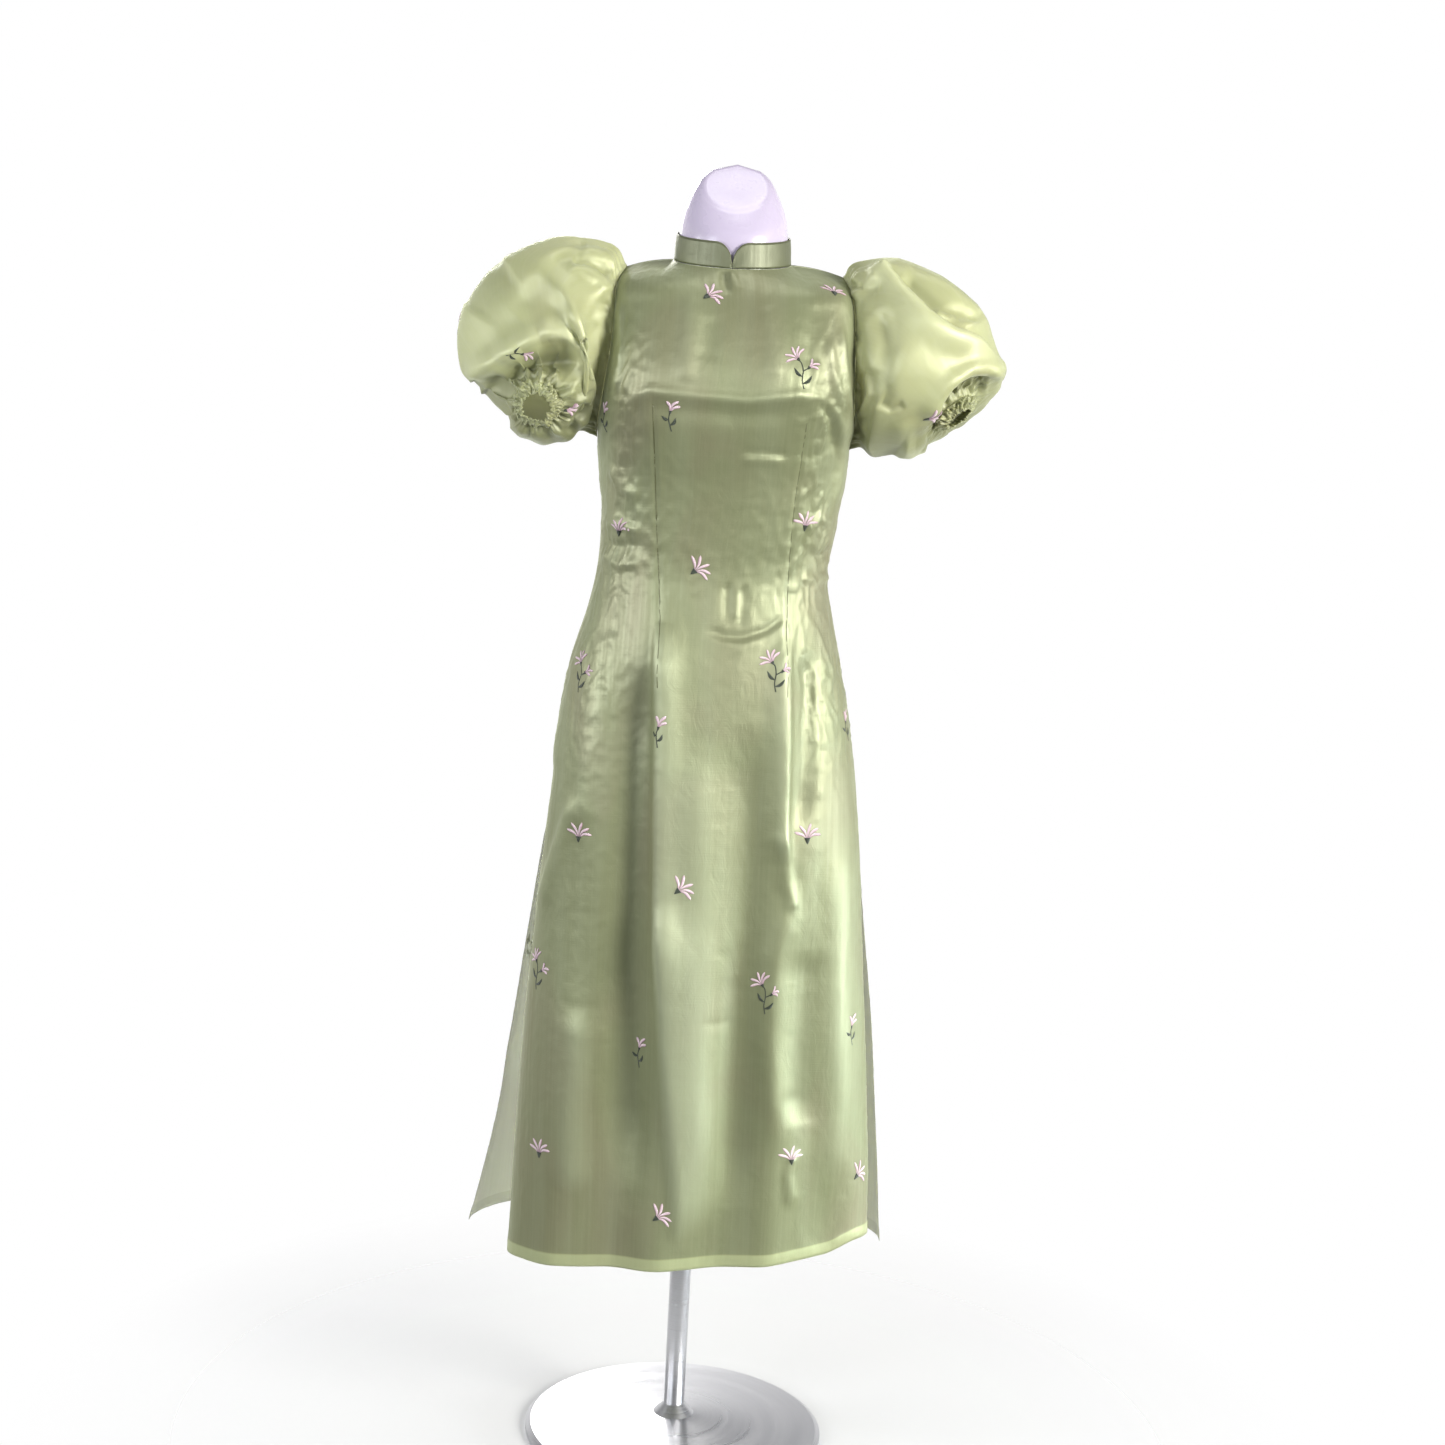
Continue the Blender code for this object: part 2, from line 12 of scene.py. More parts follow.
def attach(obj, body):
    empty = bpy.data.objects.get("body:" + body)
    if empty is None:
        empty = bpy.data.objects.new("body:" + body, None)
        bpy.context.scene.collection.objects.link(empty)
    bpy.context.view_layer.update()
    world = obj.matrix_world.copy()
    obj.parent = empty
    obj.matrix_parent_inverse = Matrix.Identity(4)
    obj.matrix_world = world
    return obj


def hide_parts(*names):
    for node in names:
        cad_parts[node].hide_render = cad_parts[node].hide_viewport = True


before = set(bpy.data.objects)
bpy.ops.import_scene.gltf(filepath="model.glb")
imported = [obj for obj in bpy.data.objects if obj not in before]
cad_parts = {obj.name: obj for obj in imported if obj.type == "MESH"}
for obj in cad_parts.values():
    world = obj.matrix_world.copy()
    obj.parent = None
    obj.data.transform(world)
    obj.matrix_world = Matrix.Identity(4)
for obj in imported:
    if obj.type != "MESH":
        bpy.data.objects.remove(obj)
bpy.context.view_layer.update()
scene = bpy.context.scene
print("frame loaded")

view = {"place": (0.016, -3.0, 1.40), "aim": (0.016, 0.0, 0.88), "roll": 3.0, "lens": 65.0}

# name, place, aim, size, strength, beam in degrees, colour
studioLights = (
    ("keyLight", (3.0, -2.3, 1.9), (0.0, 0.0, 0.75), 1.7, 222.0, 180, (1.0, 0.99, 0.95)),
    ("fillLight", (-2.3, -2.7, 1.7), (0.0, 0.0, 0.7), 1.6, 54.0, 180, (0.93, 0.97, 1.0)),
    ("sideLight", (-3.0, -0.9, 1.5), (0.0, 0.0, 0.9), 1.1, 38.0, 180, (1.0, 1.0, 1.0)),
    ("lowLight", (3.1, -0.7, 0.45), (0.12, 0.0, 0.32), 0.8, 3.4, 32, (0.86, 0.95, 1.0)),
    ("topLight", (0.1, 0.1, 3.4), (0.0, 0.0, 1.10), 1.0, 11.0, 180, (1.0, 1.0, 1.0)),
    ("backLight", (-0.8, 2.8, 1.9), (0.0, 0.0, 1.0), 1.4, 60.0, 180, (1.0, 0.99, 0.97)),
)

# the studio is white behind the form, paler in front of it and dimmer above
studio = {
    "ring": (0.24, 0.50), "turn": (-0.1, 0.6), "horizon": (1.0, 1.0, 1.0), "front": (0.24, 0.245, 0.25),
    "above": (0.24, 0.245, 0.26),
    "floorSolid": 0.22, "floorEnd": 0.80,
}


def placeCamera():
    data = bpy.data.cameras.new("camera")
    data.lens = view["lens"]
    data.sensor_width = 36
    camera = bpy.data.objects.new("camera", data)
    scene.collection.objects.link(camera)
    ahead = (Vector(view["aim"]) - Vector(view["place"])).to_track_quat("-Z", "Y").to_matrix()
    roll = Matrix.Rotation(math.radians(view["roll"]), 3, "Z")
    camera.matrix_world = Matrix.Translation(view["place"]) @ (ahead @ roll).to_4x4()
    scene.camera = camera


def placeLights():
    for name, place, aim, size, strength, beam, colour in studioLights:
        data = bpy.data.lights.new(name, "AREA")
        data.shape = "DISK"
        data.size = size
        data.energy = strength
        data.spread = math.radians(beam)
        data.color = colour
        lamp = bpy.data.objects.new(name, data)
        scene.collection.objects.link(lamp)
        turn = (Vector(aim) - Vector(place)).to_track_quat("-Z", "Y").to_matrix()
        lamp.matrix_world = Matrix.Translation(place) @ turn.to_4x4()
    world = bpy.data.worlds.new("studio")
    world.use_nodes = True
    tree = world.node_tree
    around = addNode(tree, "ShaderNodeSeparateXYZ", {
        "Vector": addNode(tree, "ShaderNodeTexCoord").outputs["Generated"],
    })
    low, high = studio["ring"]
    height = spread(tree, around.outputs["Z"], low, high)
    behind = spread(tree, around.outputs["Y"], *studio["turn"])
    level = mixColour(tree, behind, studio["front"], studio["horizon"])
    background = tree.nodes["Background"]
    tree.links.new(mixColour(tree, height, level, studio["above"]), background.inputs["Color"])
    background.inputs["Strength"].default_value = 1.0
    scene.world = world
    scene.view_settings.view_transform = "Standard"
    scene.view_settings.look = "None"


# Small node helpers

def newMaterial(name):
    look = bpy.data.materials.new(name)
    look.use_nodes = True
    return look, look.node_tree, look.node_tree.nodes["Principled BSDF"]


def addNode(tree, kind, inputs=None, **settings):
    node = tree.nodes.new(kind)
    for key, value in settings.items():
        setattr(node, key, value)
    for key, value in (inputs or {}).items():
        if isinstance(value, bpy.types.NodeSocket):
            tree.links.new(value, node.inputs[key])
        else:
            node.inputs[key].default_value = value
    return node


# one UV layer in metres, stretched by scale
def uvCoords(tree, layer, scale):
    uv = addNode(tree, "ShaderNodeUVMap", uv_map=layer)
    return addNode(tree, "ShaderNodeMapping", {"Vector": uv.outputs["UV"], "Scale": scale}).outputs[0]


def noiseOf(tree, coords, size, detail=3.0, rough=0.55, warp=0.0):
    node = addNode(tree, "ShaderNodeTexNoise", {
        "Vector": coords, "Scale": size, "Detail": detail, "Roughness": rough, "Distortion": warp,
    })
    return node.outputs["Fac"]


def spread(tree, value, low, high, toLow=0.0, toHigh=1.0):
    node = addNode(tree, "ShaderNodeMapRange", {
        "Value": value, "From Min": low, "From Max": high, "To Min": toLow, "To Max": toHigh,
    }, clamp=True)
    return node.outputs["Result"]


def mixColour(tree, factor, first, second, blend="MIX"):
    node = addNode(tree, "ShaderNodeMix", data_type="RGBA", blend_type=blend)
    for socket, value in ((node.inputs[0], factor), (node.inputs[6], first), (node.inputs[7], second)):
        if isinstance(value, bpy.types.NodeSocket):
            tree.links.new(value, socket)
        elif isinstance(value, tuple):
            socket.default_value = (*value, 1)
        else:
            socket.default_value = value
    return node.outputs[2]


def combineValues(tree, operation, first, second):
    node = addNode(tree, "ShaderNodeMath", operation=operation)
    for socket, value in zip(node.inputs, (first, second)):
        if isinstance(value, bpy.types.NodeSocket):
            tree.links.new(value, socket)
        else:
            socket.default_value = value
    return node.outputs[0]


def bumpOf(tree, height, strength, distance, under=None):
    inputs = {"Height": height, "Strength": strength, "Distance": distance}
    if under is not None:
        inputs["Normal"] = under
    return addNode(tree, "ShaderNodeBump", inputs).outputs[0]


# Cloth materials: the UV layer "cloth" runs across and up the cloth in metres, and the layer
# "edges" holds the distance from the free side edge and from the hem.
# the UV layer "depth" holds the fold push, painted as shade in the troughs and as highlight on the ridges
silk = {
    "green": (0.222, 0.240, 0.122),
    "brown": (0.222, 0.206, 0.116),
    "light": (0.385, 0.420, 0.275),
    "sheenTint": (0.86, 0.93, 0.62),
    "roughness": (0.42, 0.54),
    "metallic": 0.38,
    "crush": 0.25,
    "swirl": 1.2,
    "sheen": 0.45,
    "specular": 0.9,
    "hemWidth": 0.0145,
    "hemColour": (0.500, 0.545, 0.290),
    "slitWidth": 0.006,
    # push of the folds where the painted shade of the troughs and the painted highlight of the ridges begin and are
    # full, and their shares
    "paintedShade": (-0.0025, -0.0170, 0.0, 0.34),
    "paintedHighlight": (0.0015, 0.0120, 0.0, 0.50),
}
organza = {
    "green": (0.535, 0.565, 0.290),
    "brown": (0.490, 0.475, 0.240),
    "light": (0.660, 0.690, 0.390),
    "sheenTint": (0.90, 0.96, 0.70),
    "roughness": (0.40, 0.52),
    "metallic": 0.12,
    "crush": 0.07,
    "swirl": 0.2,
    "sheen": 0.45,
    "specular": 0.70,
    "alpha": 0.80,
    "through": 0.45,
    # painted shade in the fold troughs and painted highlight on the fold ridges, as for the silk
    "paintedShade": (-0.0020, -0.0190, 0.0, 0.80),
    "paintedHighlight": (0.0030, 0.0130, 0.0, 0.45),
}


# the two sets of threads and the uneven slubs of the weft
def weaveBump(tree, threads, under=None):
    warp = addNode(tree, "ShaderNodeTexWave", {
        "Vector": uvCoords(tree, "cloth", (threads, threads * 0.02, 1)), "Scale": 1.0, "Distortion": 0.6,
    }, wave_profile="SIN")
    weft = addNode(tree, "ShaderNodeTexWave", {
        "Vector": uvCoords(tree, "cloth", (threads * 0.02, threads, 1)), "Scale": 1.0, "Distortion": 0.6,
    }, wave_profile="SIN", bands_direction="Y")
    threadHeight = combineValues(tree, "MULTIPLY", warp.outputs["Fac"], weft.outputs["Fac"])
    slubs = noiseOf(tree, uvCoords(tree, "cloth", (30, 900, 1)), 1.0, 2.0)
    woven = bumpOf(tree, threadHeight, 0.12, 0.0003, under)
    return bumpOf(tree, spread(tree, slubs, 0.35, 0.75), 0.10, 0.0004, woven)


def makeSilk(name, values, hems=True, threads=260):
    look, tree, shader = newMaterial(name)
    streaks = noiseOf(tree, uvCoords(tree, "cloth", (260, 5, 1)), 1.0, 4.0, 0.6)
    clouds = noiseOf(tree, uvCoords(tree, "cloth", (8, 4, 1)), 1.0, 2.0, 0.5, 0.8)
    wide = noiseOf(tree, uvCoords(tree, "cloth", (26, 2.4, 1)), 1.0, 2.0, 0.5)
    colour = mixColour(tree, spread(tree, clouds, 0.45, 0.72, 0.0, 0.8), values["green"], values["brown"])
    colour = mixColour(tree, spread(tree, wide, 0.45, 0.85, 0.0, 0.30), colour, values["light"])
    colour = mixColour(tree, spread(tree, streaks, 0.45, 0.80, 0.0, 0.16), colour, values["light"])
    depth = addNode(tree, "ShaderNodeSeparateXYZ", {
        "Vector": addNode(tree, "ShaderNodeUVMap", uv_map="depth").outputs["UV"],
    }).outputs["X"]
    paintedShade, paintedHighlight = values["paintedShade"], values["paintedHighlight"]
    # painted shade in the fold troughs, darker green, and painted highlight on the fold ridges, lighter
    colour = mixColour(tree, spread(tree, depth, *paintedShade), colour, tuple(c * 0.42 for c in values["green"]))
    colour = mixColour(tree, spread(tree, depth, *paintedHighlight), colour, tuple(c * 1.25 for c in values["light"]))
    if hems:
        edges = addNode(tree, "ShaderNodeSeparateXYZ", {
            "Vector": addNode(tree, "ShaderNodeUVMap", uv_map="edges").outputs["UV"],
        })
        hemLine = spread(tree, edges.outputs["Y"], values["hemWidth"], values["hemWidth"] + 0.0008, 1.0, 0.0)
        slitLine = spread(tree, edges.outputs["X"], values["slitWidth"], values["slitWidth"] + 0.0008, 1.0, 0.0)
        band = combineValues(tree, "MAXIMUM", hemLine, combineValues(tree, "MULTIPLY", slitLine, 0.6))
        colour = mixColour(tree, combineValues(tree, "MULTIPLY", band, 0.62), colour, values["hemColour"])
        seamDark = spread(tree, combineValues(tree, "ABSOLUTE", combineValues(
            tree, "SUBTRACT", edges.outputs["Y"], values["hemWidth"]), 0.0), 0.0, 0.0011, 0.45, 0.0)
        colour = mixColour(tree, seamDark, colour, (0.20, 0.21, 0.09))
    tree.links.new(colour, shader.inputs["Base Color"])
    low, high = values["roughness"]
    tree.links.new(spread(tree, streaks, 0.3, 0.7, high, low), shader.inputs["Roughness"])
    shader.inputs["Metallic"].default_value = values["metallic"]
    shader.inputs["Specular IOR Level"].default_value = values["specular"]
    shader.inputs["Anisotropic"].default_value = 0.55
    shader.inputs["Sheen Weight"].default_value = values["sheen"]
    shader.inputs["Sheen Roughness"].default_value = 0.35
    if "through" in values:
        shader.inputs["Subsurface Weight"].default_value = values["through"]
        shader.inputs["Subsurface Radius"].default_value = (1.0, 1.0, 0.7)
        shader.inputs["Subsurface Scale"].default_value = 0.004
    shader.inputs["Sheen Tint"].default_value = (*values["sheenTint"], 1)
    if "alpha" in values:
        shader.inputs["Alpha"].default_value = values["alpha"]
    crushed = noiseOf(tree, uvCoords(tree, "cloth", (60, 26, 1)), 1.0, 3.0, 0.6, values["swirl"])
    creased = bumpOf(tree, crushed, values["crush"], 0.0016)
    tree.links.new(weaveBump(tree, threads, creased), shader.inputs["Normal"])
    return look


thread = {
    "petalLight": (0.78, 0.61, 0.67),
    "petalDark": (0.37, 0.17, 0.25),
    "leaf": (0.030, 0.042, 0.024),
    "seam": (0.115, 0.120, 0.045),
}


# satin stitch: fine threads across the shape, darker in its heart and along its rims, with painted shade along its
# lower side
def makeThread(name, light, dark, sheen, lay=2200.0):
    look, tree, shader = newMaterial(name)
    uv = addNode(tree, "ShaderNodeSeparateXYZ", {
        "Vector": addNode(tree, "ShaderNodeUVMap", uv_map="stitch").outputs["UV"],
    })
    middle = combineValues(tree, "ABSOLUTE", combineValues(tree, "SUBTRACT", uv.outputs["X"], 0.5), 0.0)
    rim = spread(tree, middle, 0.38, 0.50, 0.0, 0.45)
    # painted shade along the side of the shape that lies below
    rim = combineValues(tree, "MAXIMUM", rim, spread(tree, uv.outputs["X"], 0.52, 0.95, 0.0, 0.85))
    heart = spread(tree, uv.outputs["Y"], 0.0, 0.45, 0.75, 0.0)
    fine = noiseOf(tree, uvCoords(tree, "stitch", (3, 60, 1)), 1.0, 2.0)
    factor = combineValues(tree, "MAXIMUM", rim, heart)
    factor = combineValues(tree, "ADD", factor, spread(tree, fine, 0.3, 0.8, -0.12, 0.25))
    tree.links.new(mixColour(tree, factor, light, dark), shader.inputs["Base Color"])
    shader.inputs["Roughness"].default_value = 0.42
    shader.inputs["Sheen Weight"].default_value = sheen
    threads = addNode(tree, "ShaderNodeTexWave", {
        "Vector": uvCoords(tree, "stitch", (0.6, lay * 0.01, 1)), "Scale": 1.0, "Distortion": 0.8,
    }, bands_direction="Y")
    tree.links.new(bumpOf(tree, threads.outputs["Fac"], 0.5, 0.0003), shader.inputs["Normal"])
    return look


def makePlastic():
    look, tree, shader = newMaterial("formPlastic")
    coords = addNode(tree, "ShaderNodeTexCoord").outputs["Object"]
    cloud = noiseOf(tree, coords, 6.0, 2.0)
    colour = mixColour(tree, spread(tree, cloud, 0.35, 0.7), (0.50, 0.44, 0.57), (0.54, 0.48, 0.61))
    tree.links.new(colour, shader.inputs["Base Color"])
    grain = noiseOf(tree, coords, 900.0, 2.0)
    tree.links.new(spread(tree, noiseOf(tree, coords, 24.0, 3.0), 0.3, 0.7, 0.22, 0.34), shader.inputs["Roughness"])
    shader.inputs["Coat Weight"].default_value = 0.35
    shader.inputs["Coat Roughness"].default_value = 0.12
    shader.inputs["Subsurface Weight"].default_value = 0.10
    shader.inputs["Subsurface Radius"].default_value = (0.012, 0.010, 0.014)
    tree.links.new(bumpOf(tree, grain, 0.05, 0.0004), shader.inputs["Normal"])
    return look


def makeMetal(name, colour, rough, brushed, metallic=1.0):
    look, tree, shader = newMaterial(name)
    coords = addNode(tree, "ShaderNodeTexCoord").outputs["Object"]
    lines = noiseOf(tree, addNode(tree, "ShaderNodeMapping", {"Vector": coords, "Scale": brushed}).outputs[0], 1.0, 3.0)
    tone = mixColour(tree, spread(tree, lines, 0.3, 0.7), colour, tuple(c * 0.86 for c in colour))
    tree.links.new(tone, shader.inputs["Base Color"])
    tree.links.new(spread(tree, lines, 0.3, 0.7, rough, rough + 0.14), shader.inputs["Roughness"])
    shader.inputs["Metallic"].default_value = metallic
    tree.links.new(bumpOf(tree, lines, 0.06, 0.0004), shader.inputs["Normal"])
    return look


def makeFloorLook():
    look, tree, shader = newMaterial("paleFloor")
    coords = addNode(tree, "ShaderNodeTexCoord").outputs["Object"]
    tone = mixColour(tree, noiseOf(tree, coords, 1.5, 2.0), (0.62, 0.62, 0.62), (0.65, 0.65, 0.65))
    tree.links.new(tone, shader.inputs["Base Color"])
    shader.inputs["Roughness"].default_value = 0.8
    away = addNode(tree, "ShaderNodeVectorMath", {0: coords}, operation="LENGTH").outputs["Value"]
    tree.links.new(spread(tree, away, studio["floorSolid"], studio["floorEnd"], 1.0, 0.0), shader.inputs["Alpha"])
    return look


# The shape of the garment, as the solids have it

shape = {
    "seamHalf": 0.00025,
    "neckHalf": 0.0665, "neckFront": 0.062, "neckBack": 0.058, "neckZ": 1.409, "neckDip": 0.0075,
    "neckShare": 5 / 12,
    "shoulderTip": Vector((0.131, 0.0, 1.395)), "shoulderArch": 0.003, "shoulderDrift": 0.004,
    "underarmRow": 6, "hemZ": 0.25,
    "bustX": 0.074, "bustZ": 1.268, "bustReach": 0.045, "bustRise": 0.004,
    "sleeveSeam": 0.0009, "sleeveLap": 0.085, "armholeMiddle": Vector((0.131, 0.0, 1.305)),
}

# middle height, edge height, half width, drift, middle y, edge y, squareness
frontRows = (
    (1.385, 1.377, 0.1325, 0.004, -0.080, -0.025, 2.3),
    (1.360, 1.350, 0.1350, 0.006, -0.098, -0.040, 2.4),
    (1.322, 1.305, 0.1375, 0.006, -0.114, -0.046, 2.5),
    (1.282, 1.258, 0.1415, 0.004, -0.123, -0.038, 2.6),
    (1.244, 1.222, 0.1440, 0.001, -0.121, -0.016, 2.5),
    (1.205, 1.205, 0.1435, 0.000, -0.112, 0.0, 2.4),
    (1.160, 1.160, 0.1385, 0.001, -0.101, 0.0, 2.3),
    (1.105, 1.105, 0.1345, -0.001, -0.093, 0.0, 2.3),
    (1.058, 1.058, 0.1325, -0.005, -0.090, 0.0, 2.3),
    (1.010, 1.010, 0.1415, -0.005, -0.096, 0.0, 2.3),
    (0.955, 0.955, 0.1555, -0.006, -0.106, -0.004, 2.3),
    (0.880, 0.880, 0.1680, -0.003, -0.115, -0.012, 2.3),
    (0.780, 0.780, 0.1800, -0.001, -0.121, -0.022, 2.3),
    (0.660, 0.660, 0.1900, 0.000, -0.125, -0.031, 2.2),
    (0.520, 0.520, 0.2010, 0.002, -0.128, -0.039, 2.2),
    (0.380, 0.375, 0.2090, 0.005, -0.131, -0.045, 2.1),
    (0.258, 0.250, 0.2125, 0.006, -0.132, -0.048, 2.1),
)
backRows = (
    (1.397, 1.378, 0.1325, 0.004, 0.076, 0.027, 2.3),
    (1.368, 1.350, 0.1350, 0.006, 0.090, 0.044, 2.4),
    (1.325, 1.305, 0.1375, 0.006, 0.099, 0.052, 2.5),
    (1.282, 1.258, 0.1415, 0.004, 0.101, 0.044, 2.5),
    (1.244, 1.222, 0.1440, 0.001, 0.096, 0.018, 2.4),
    (1.205, 1.205, 0.1435, 0.000, 0.089, 0.0, 2.3),
    (1.160, 1.160, 0.1385, 0.001, 0.080, 0.0, 2.3),
    (1.105, 1.105, 0.1345, -0.001, 0.073, 0.0, 2.3),
    (1.058, 1.058, 0.1325, -0.005, 0.072, 0.0, 2.3),
    (1.010, 1.010, 0.1415, -0.005, 0.080, 0.0, 2.3),
    (0.955, 0.955, 0.1555, -0.006, 0.094, 0.004, 2.3),
    (0.880, 0.880, 0.1680, -0.003, 0.108, 0.010, 2.3),
    (0.780, 0.780, 0.1800, -0.001, 0.115, 0.018, 2.3),
    (0.660, 0.660, 0.1935, -0.001, 0.119, 0.025, 2.2),
    (0.520, 0.520, 0.2120, 0.000, 0.123, 0.031, 2.2),
    (0.380, 0.380, 0.2300, -0.003, 0.126, 0.036, 2.1),
    (0.250, 0.240, 0.2510, -0.011, 0.128, 0.040, 2.1),
)
# where each broad skirt fold lies, its width, the height where it starts, its rise at the hem
frontWaves = ((-0.155, 0.030, 0.74, 0.007), (-0.085, 0.026, 0.86, -0.008), (-0.030, 0.030, 0.70, 0.006),
              (0.040, 0.034, 0.62, -0.005), (0.100, 0.026, 0.80, 0.007), (0.165, 0.030, 0.70, -0.006))
backWaves = ((-0.180, 0.034, 0.70, 0.008), (-0.105, 0.030, 0.84, -0.009), (-0.045, 0.030, 0.74, 0.007),
             (0.050, 0.034, 0.78, 0.008), (0.120, 0.030, 0.82, -0.008), (0.190, 0.032, 0.66, 0.007))
# out, y, height, swing, dip, half size up, half size across
sleeveRings = {
    -1: ((0.150, -0.002, 1.316, 4, -6, 0.105, 0.066), (0.188, -0.006, 1.316, 18, 6, 0.111, 0.092),
         (0.226, -0.020, 1.304, 40, 16, 0.102, 0.110), (0.226, -0.040, 1.280, 60, 24, 0.084, 0.092),
         (0.208, -0.064, 1.250, 78, 28, 0.062, 0.060), (0.206, -0.080, 1.244, 84, 26, 0.042, 0.042),
         (0.208, -0.083, 1.244, 87, 24, 0.025, 0.025)),
    1: ((0.150, -0.001, 1.312, 2, -4, 0.103, 0.064), (0.186, -0.004, 1.308, 14, 8, 0.110, 0.088),
        (0.226, -0.014, 1.290, 24, 26, 0.100, 0.098), (0.260, -0.028, 1.262, 32, 42, 0.066, 0.072),
        (0.262, -0.036, 1.256, 32, 44, 0.046, 0.046), (0.258, -0.037, 1.257, 32, 45, 0.025, 0.025)),
}


def ease(x):
    x = min(max(x, 0.0), 1.0)
    return x * x * (3 - 2 * x)


def easeArray(x):
    x = np.clip(x, 0.0, 1.0)
    return x * x * (3 - 2 * x)


# a point on the smooth curve through pick(0) to pick(last)
def alongCurve(pick, last, t):
    k = min(int(t), last - 1)
    f = t - k
    b, c = pick(k), pick(k + 1)
    a = pick(k - 1) if k > 0 else b * 2 - c
    d = pick(k + 2) if k + 2 <= last else c * 2 - b
    return (
        b * 2 + (c - a) * f + (a * 2 - b * 5 + c * 4 - d) * f**2 + (b * 3 - a - c * 3 + d) * f**3
    ) * 0.5


def neckline(angle):
    depth = shape["neckFront"] if math.cos(angle) > 0 else shape["neckBack"]
    height = shape["neckZ"] - shape["neckDip"] * math.cos(angle)
    return Vector((shape["neckHalf"] * math.sin(angle), -depth * math.cos(angle), height))


def topEdge(u, facing):
    across = abs(u)
    corner = shape["neckShare"]
    if across <= corner:
        turn = across / corner * math.pi / 2
        place = neckline(turn if facing < 0 else math.pi - turn)
        place.x = math.copysign(place.x, u)
        return place
    along = (across - corner) / (1 - corner)
    place = neckline(math.pi / 2).lerp(shape["shoulderTip"], along)
    place.z += shape["shoulderArch"] * math.sin(along * math.pi)
    place.x = math.copysign(place.x, u) + shape["shoulderDrift"] * along
    return place


def sectionPoint(row, u, closedSide):
    zMid, zEdge, half, drift, yMid, yEdge, square = row
    turn = abs(u) * math.pi / 2
    wide = math.sin(turn) ** (2 / square)
    deep = max(math.cos(turn), 0.0) ** (2 / square)
    side = 0.0 if closedSide else yEdge
    return Vector((
        drift + math.copysign(half * wide, u), side + (yMid - side) * deep, zEdge + (zMid - zEdge) * deep,
    ))


def panelPoint(facing, u, t, forForm=False):
    rows = frontRows if facing < 0 else backRows

    def pick(k):
        if k == 0:
            return topEdge(u, facing)
        return sectionPoint(rows[k - 1], u, forForm and k >= shape["underarmRow"])

    point = alongCurve(pick, len(rows), t)
    point.y = facing * max(facing * point.y, 0.0)
    if facing < 0:
        side = (abs(point.x) - shape["bustX"]) / shape["bustReach"]
        up = (point.z - shape["bustZ"]) / shape["bustReach"]
        point.y -= shape["bustRise"] * math.exp(-side * side - up * up)
    if not forForm:
        for x, width, start, rise in (frontWaves if facing < 0 else backWaves):
            grown = ease((start - point.z) / (start - shape["hemZ"]))
            point.y += facing * rise * grown * math.exp(-((point.x - x) / width) ** 2)
        point.y += facing * shape["seamHalf"]
    return point


# places down the rows, the same length of cloth apart
def evenLevels(facing, last, count):
    fine = [k * last / 400 for k in range(401)]
    places = [panelPoint(facing, 0.5, t) for t in fine]
    walked = [0.0]
    for a, b in zip(places, places[1:]):
        walked.append(walked[-1] + (b - a).length)
    return np.interp(np.linspace(0, walked[-1], count + 1), walked, fine), walked[-1]


def armholePoint(turn, side):
    facing = 1 if turn <= 0.5 else -1
    down = 2 * turn if facing > 0 else 2 * (1 - turn)
    over = shape["sleeveLap"] * (1 - ease((down - 0.55) / 0.40))
    point = panelPoint(facing, side * (1 - over), shape["underarmRow"] * down, forForm=True)
    point.x *= side
    return point


def ringPoint(ring, turn):
    out, y, z, swing, dip, tall, across = ring
    angle = turn * 2 * math.pi
    swing, dip = math.radians(swing), math.radians(dip)
    upward = Vector((math.sin(dip) * math.cos(swing), -math.sin(dip) * math.sin(swing), math.cos(dip)))
    sideways = Vector((math.sin(swing), math.cos(swing), 0))
    return Vector((out, y, z)) + upward * (tall * math.cos(angle)) + sideways * (across * math.sin(angle))


# the smooth sleeve at +X, and its outward direction
def sleeveBase(side, turn, t):
    rings = sleeveRings[side]
    start = armholePoint(turn, side)
    start += (start - shape["armholeMiddle"]).normalized() * shape["sleeveSeam"] + Vector((shape["sleeveSeam"], 0, 0))
    point = alongCurve(lambda k: start if k == 0 else ringPoint(rings[k - 1], turn), len(rings), t)

    def centre(k):
        return shape["armholeMiddle"] if k == 0 else Vector(rings[k - 1][:3])

    return point, (point - alongCurve(centre, len(rings), t)).normalized()


# Cloth meshes

# a flat grid with its two running shares, ready to be moved into place
def gridMesh(columns, rows):
    mesh = bmesh.new()
    bmesh.ops.create_grid(mesh, x_segments=columns, y_segments=rows, size=0.5)
    mesh.verts.ensure_lookup_table()
    shares = np.array([(vert.co.x + 0.5, 0.5 - vert.co.y) for vert in mesh.verts])
    return mesh, shares


def setPlaces(mesh, places):
    for vert, place in zip(mesh.verts, places):
        vert.co = place
    mesh.normal_update()


def places(mesh):
    return np.array([vert.co[:] for vert in mesh.verts]), np.array([vert.normal[:] for vert in mesh.verts])


def setLayer(mesh, name, values):
    layer = mesh.loops.layers.uv.new(name)
    for face in mesh.faces:
        for loop in face.loops:
            loop[layer].uv = values[loop.vert.index]


def finishPiece(name, mesh, look, body="root", replaces=(), wall=0.0, smooth=True, angle=None):
    data = bpy.data.meshes.new(name)
    mesh.to_mesh(data)
    mesh.free()
    piece = bpy.data.objects.new(name, data)
    scene.collection.objects.link(piece)
    data.materials.append(look)
    if smooth:
        data.shade_smooth()
        if angle:
            data.set_sharp_from_angle(angle=math.radians(angle))
    if wall:
        solidify = piece.modifiers.new("wall", "SOLIDIFY")
        solidify.thickness = wall
        solidify.offset = -1
    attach(piece, body)
    if replaces:
        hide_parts(*replaces)
    return piece


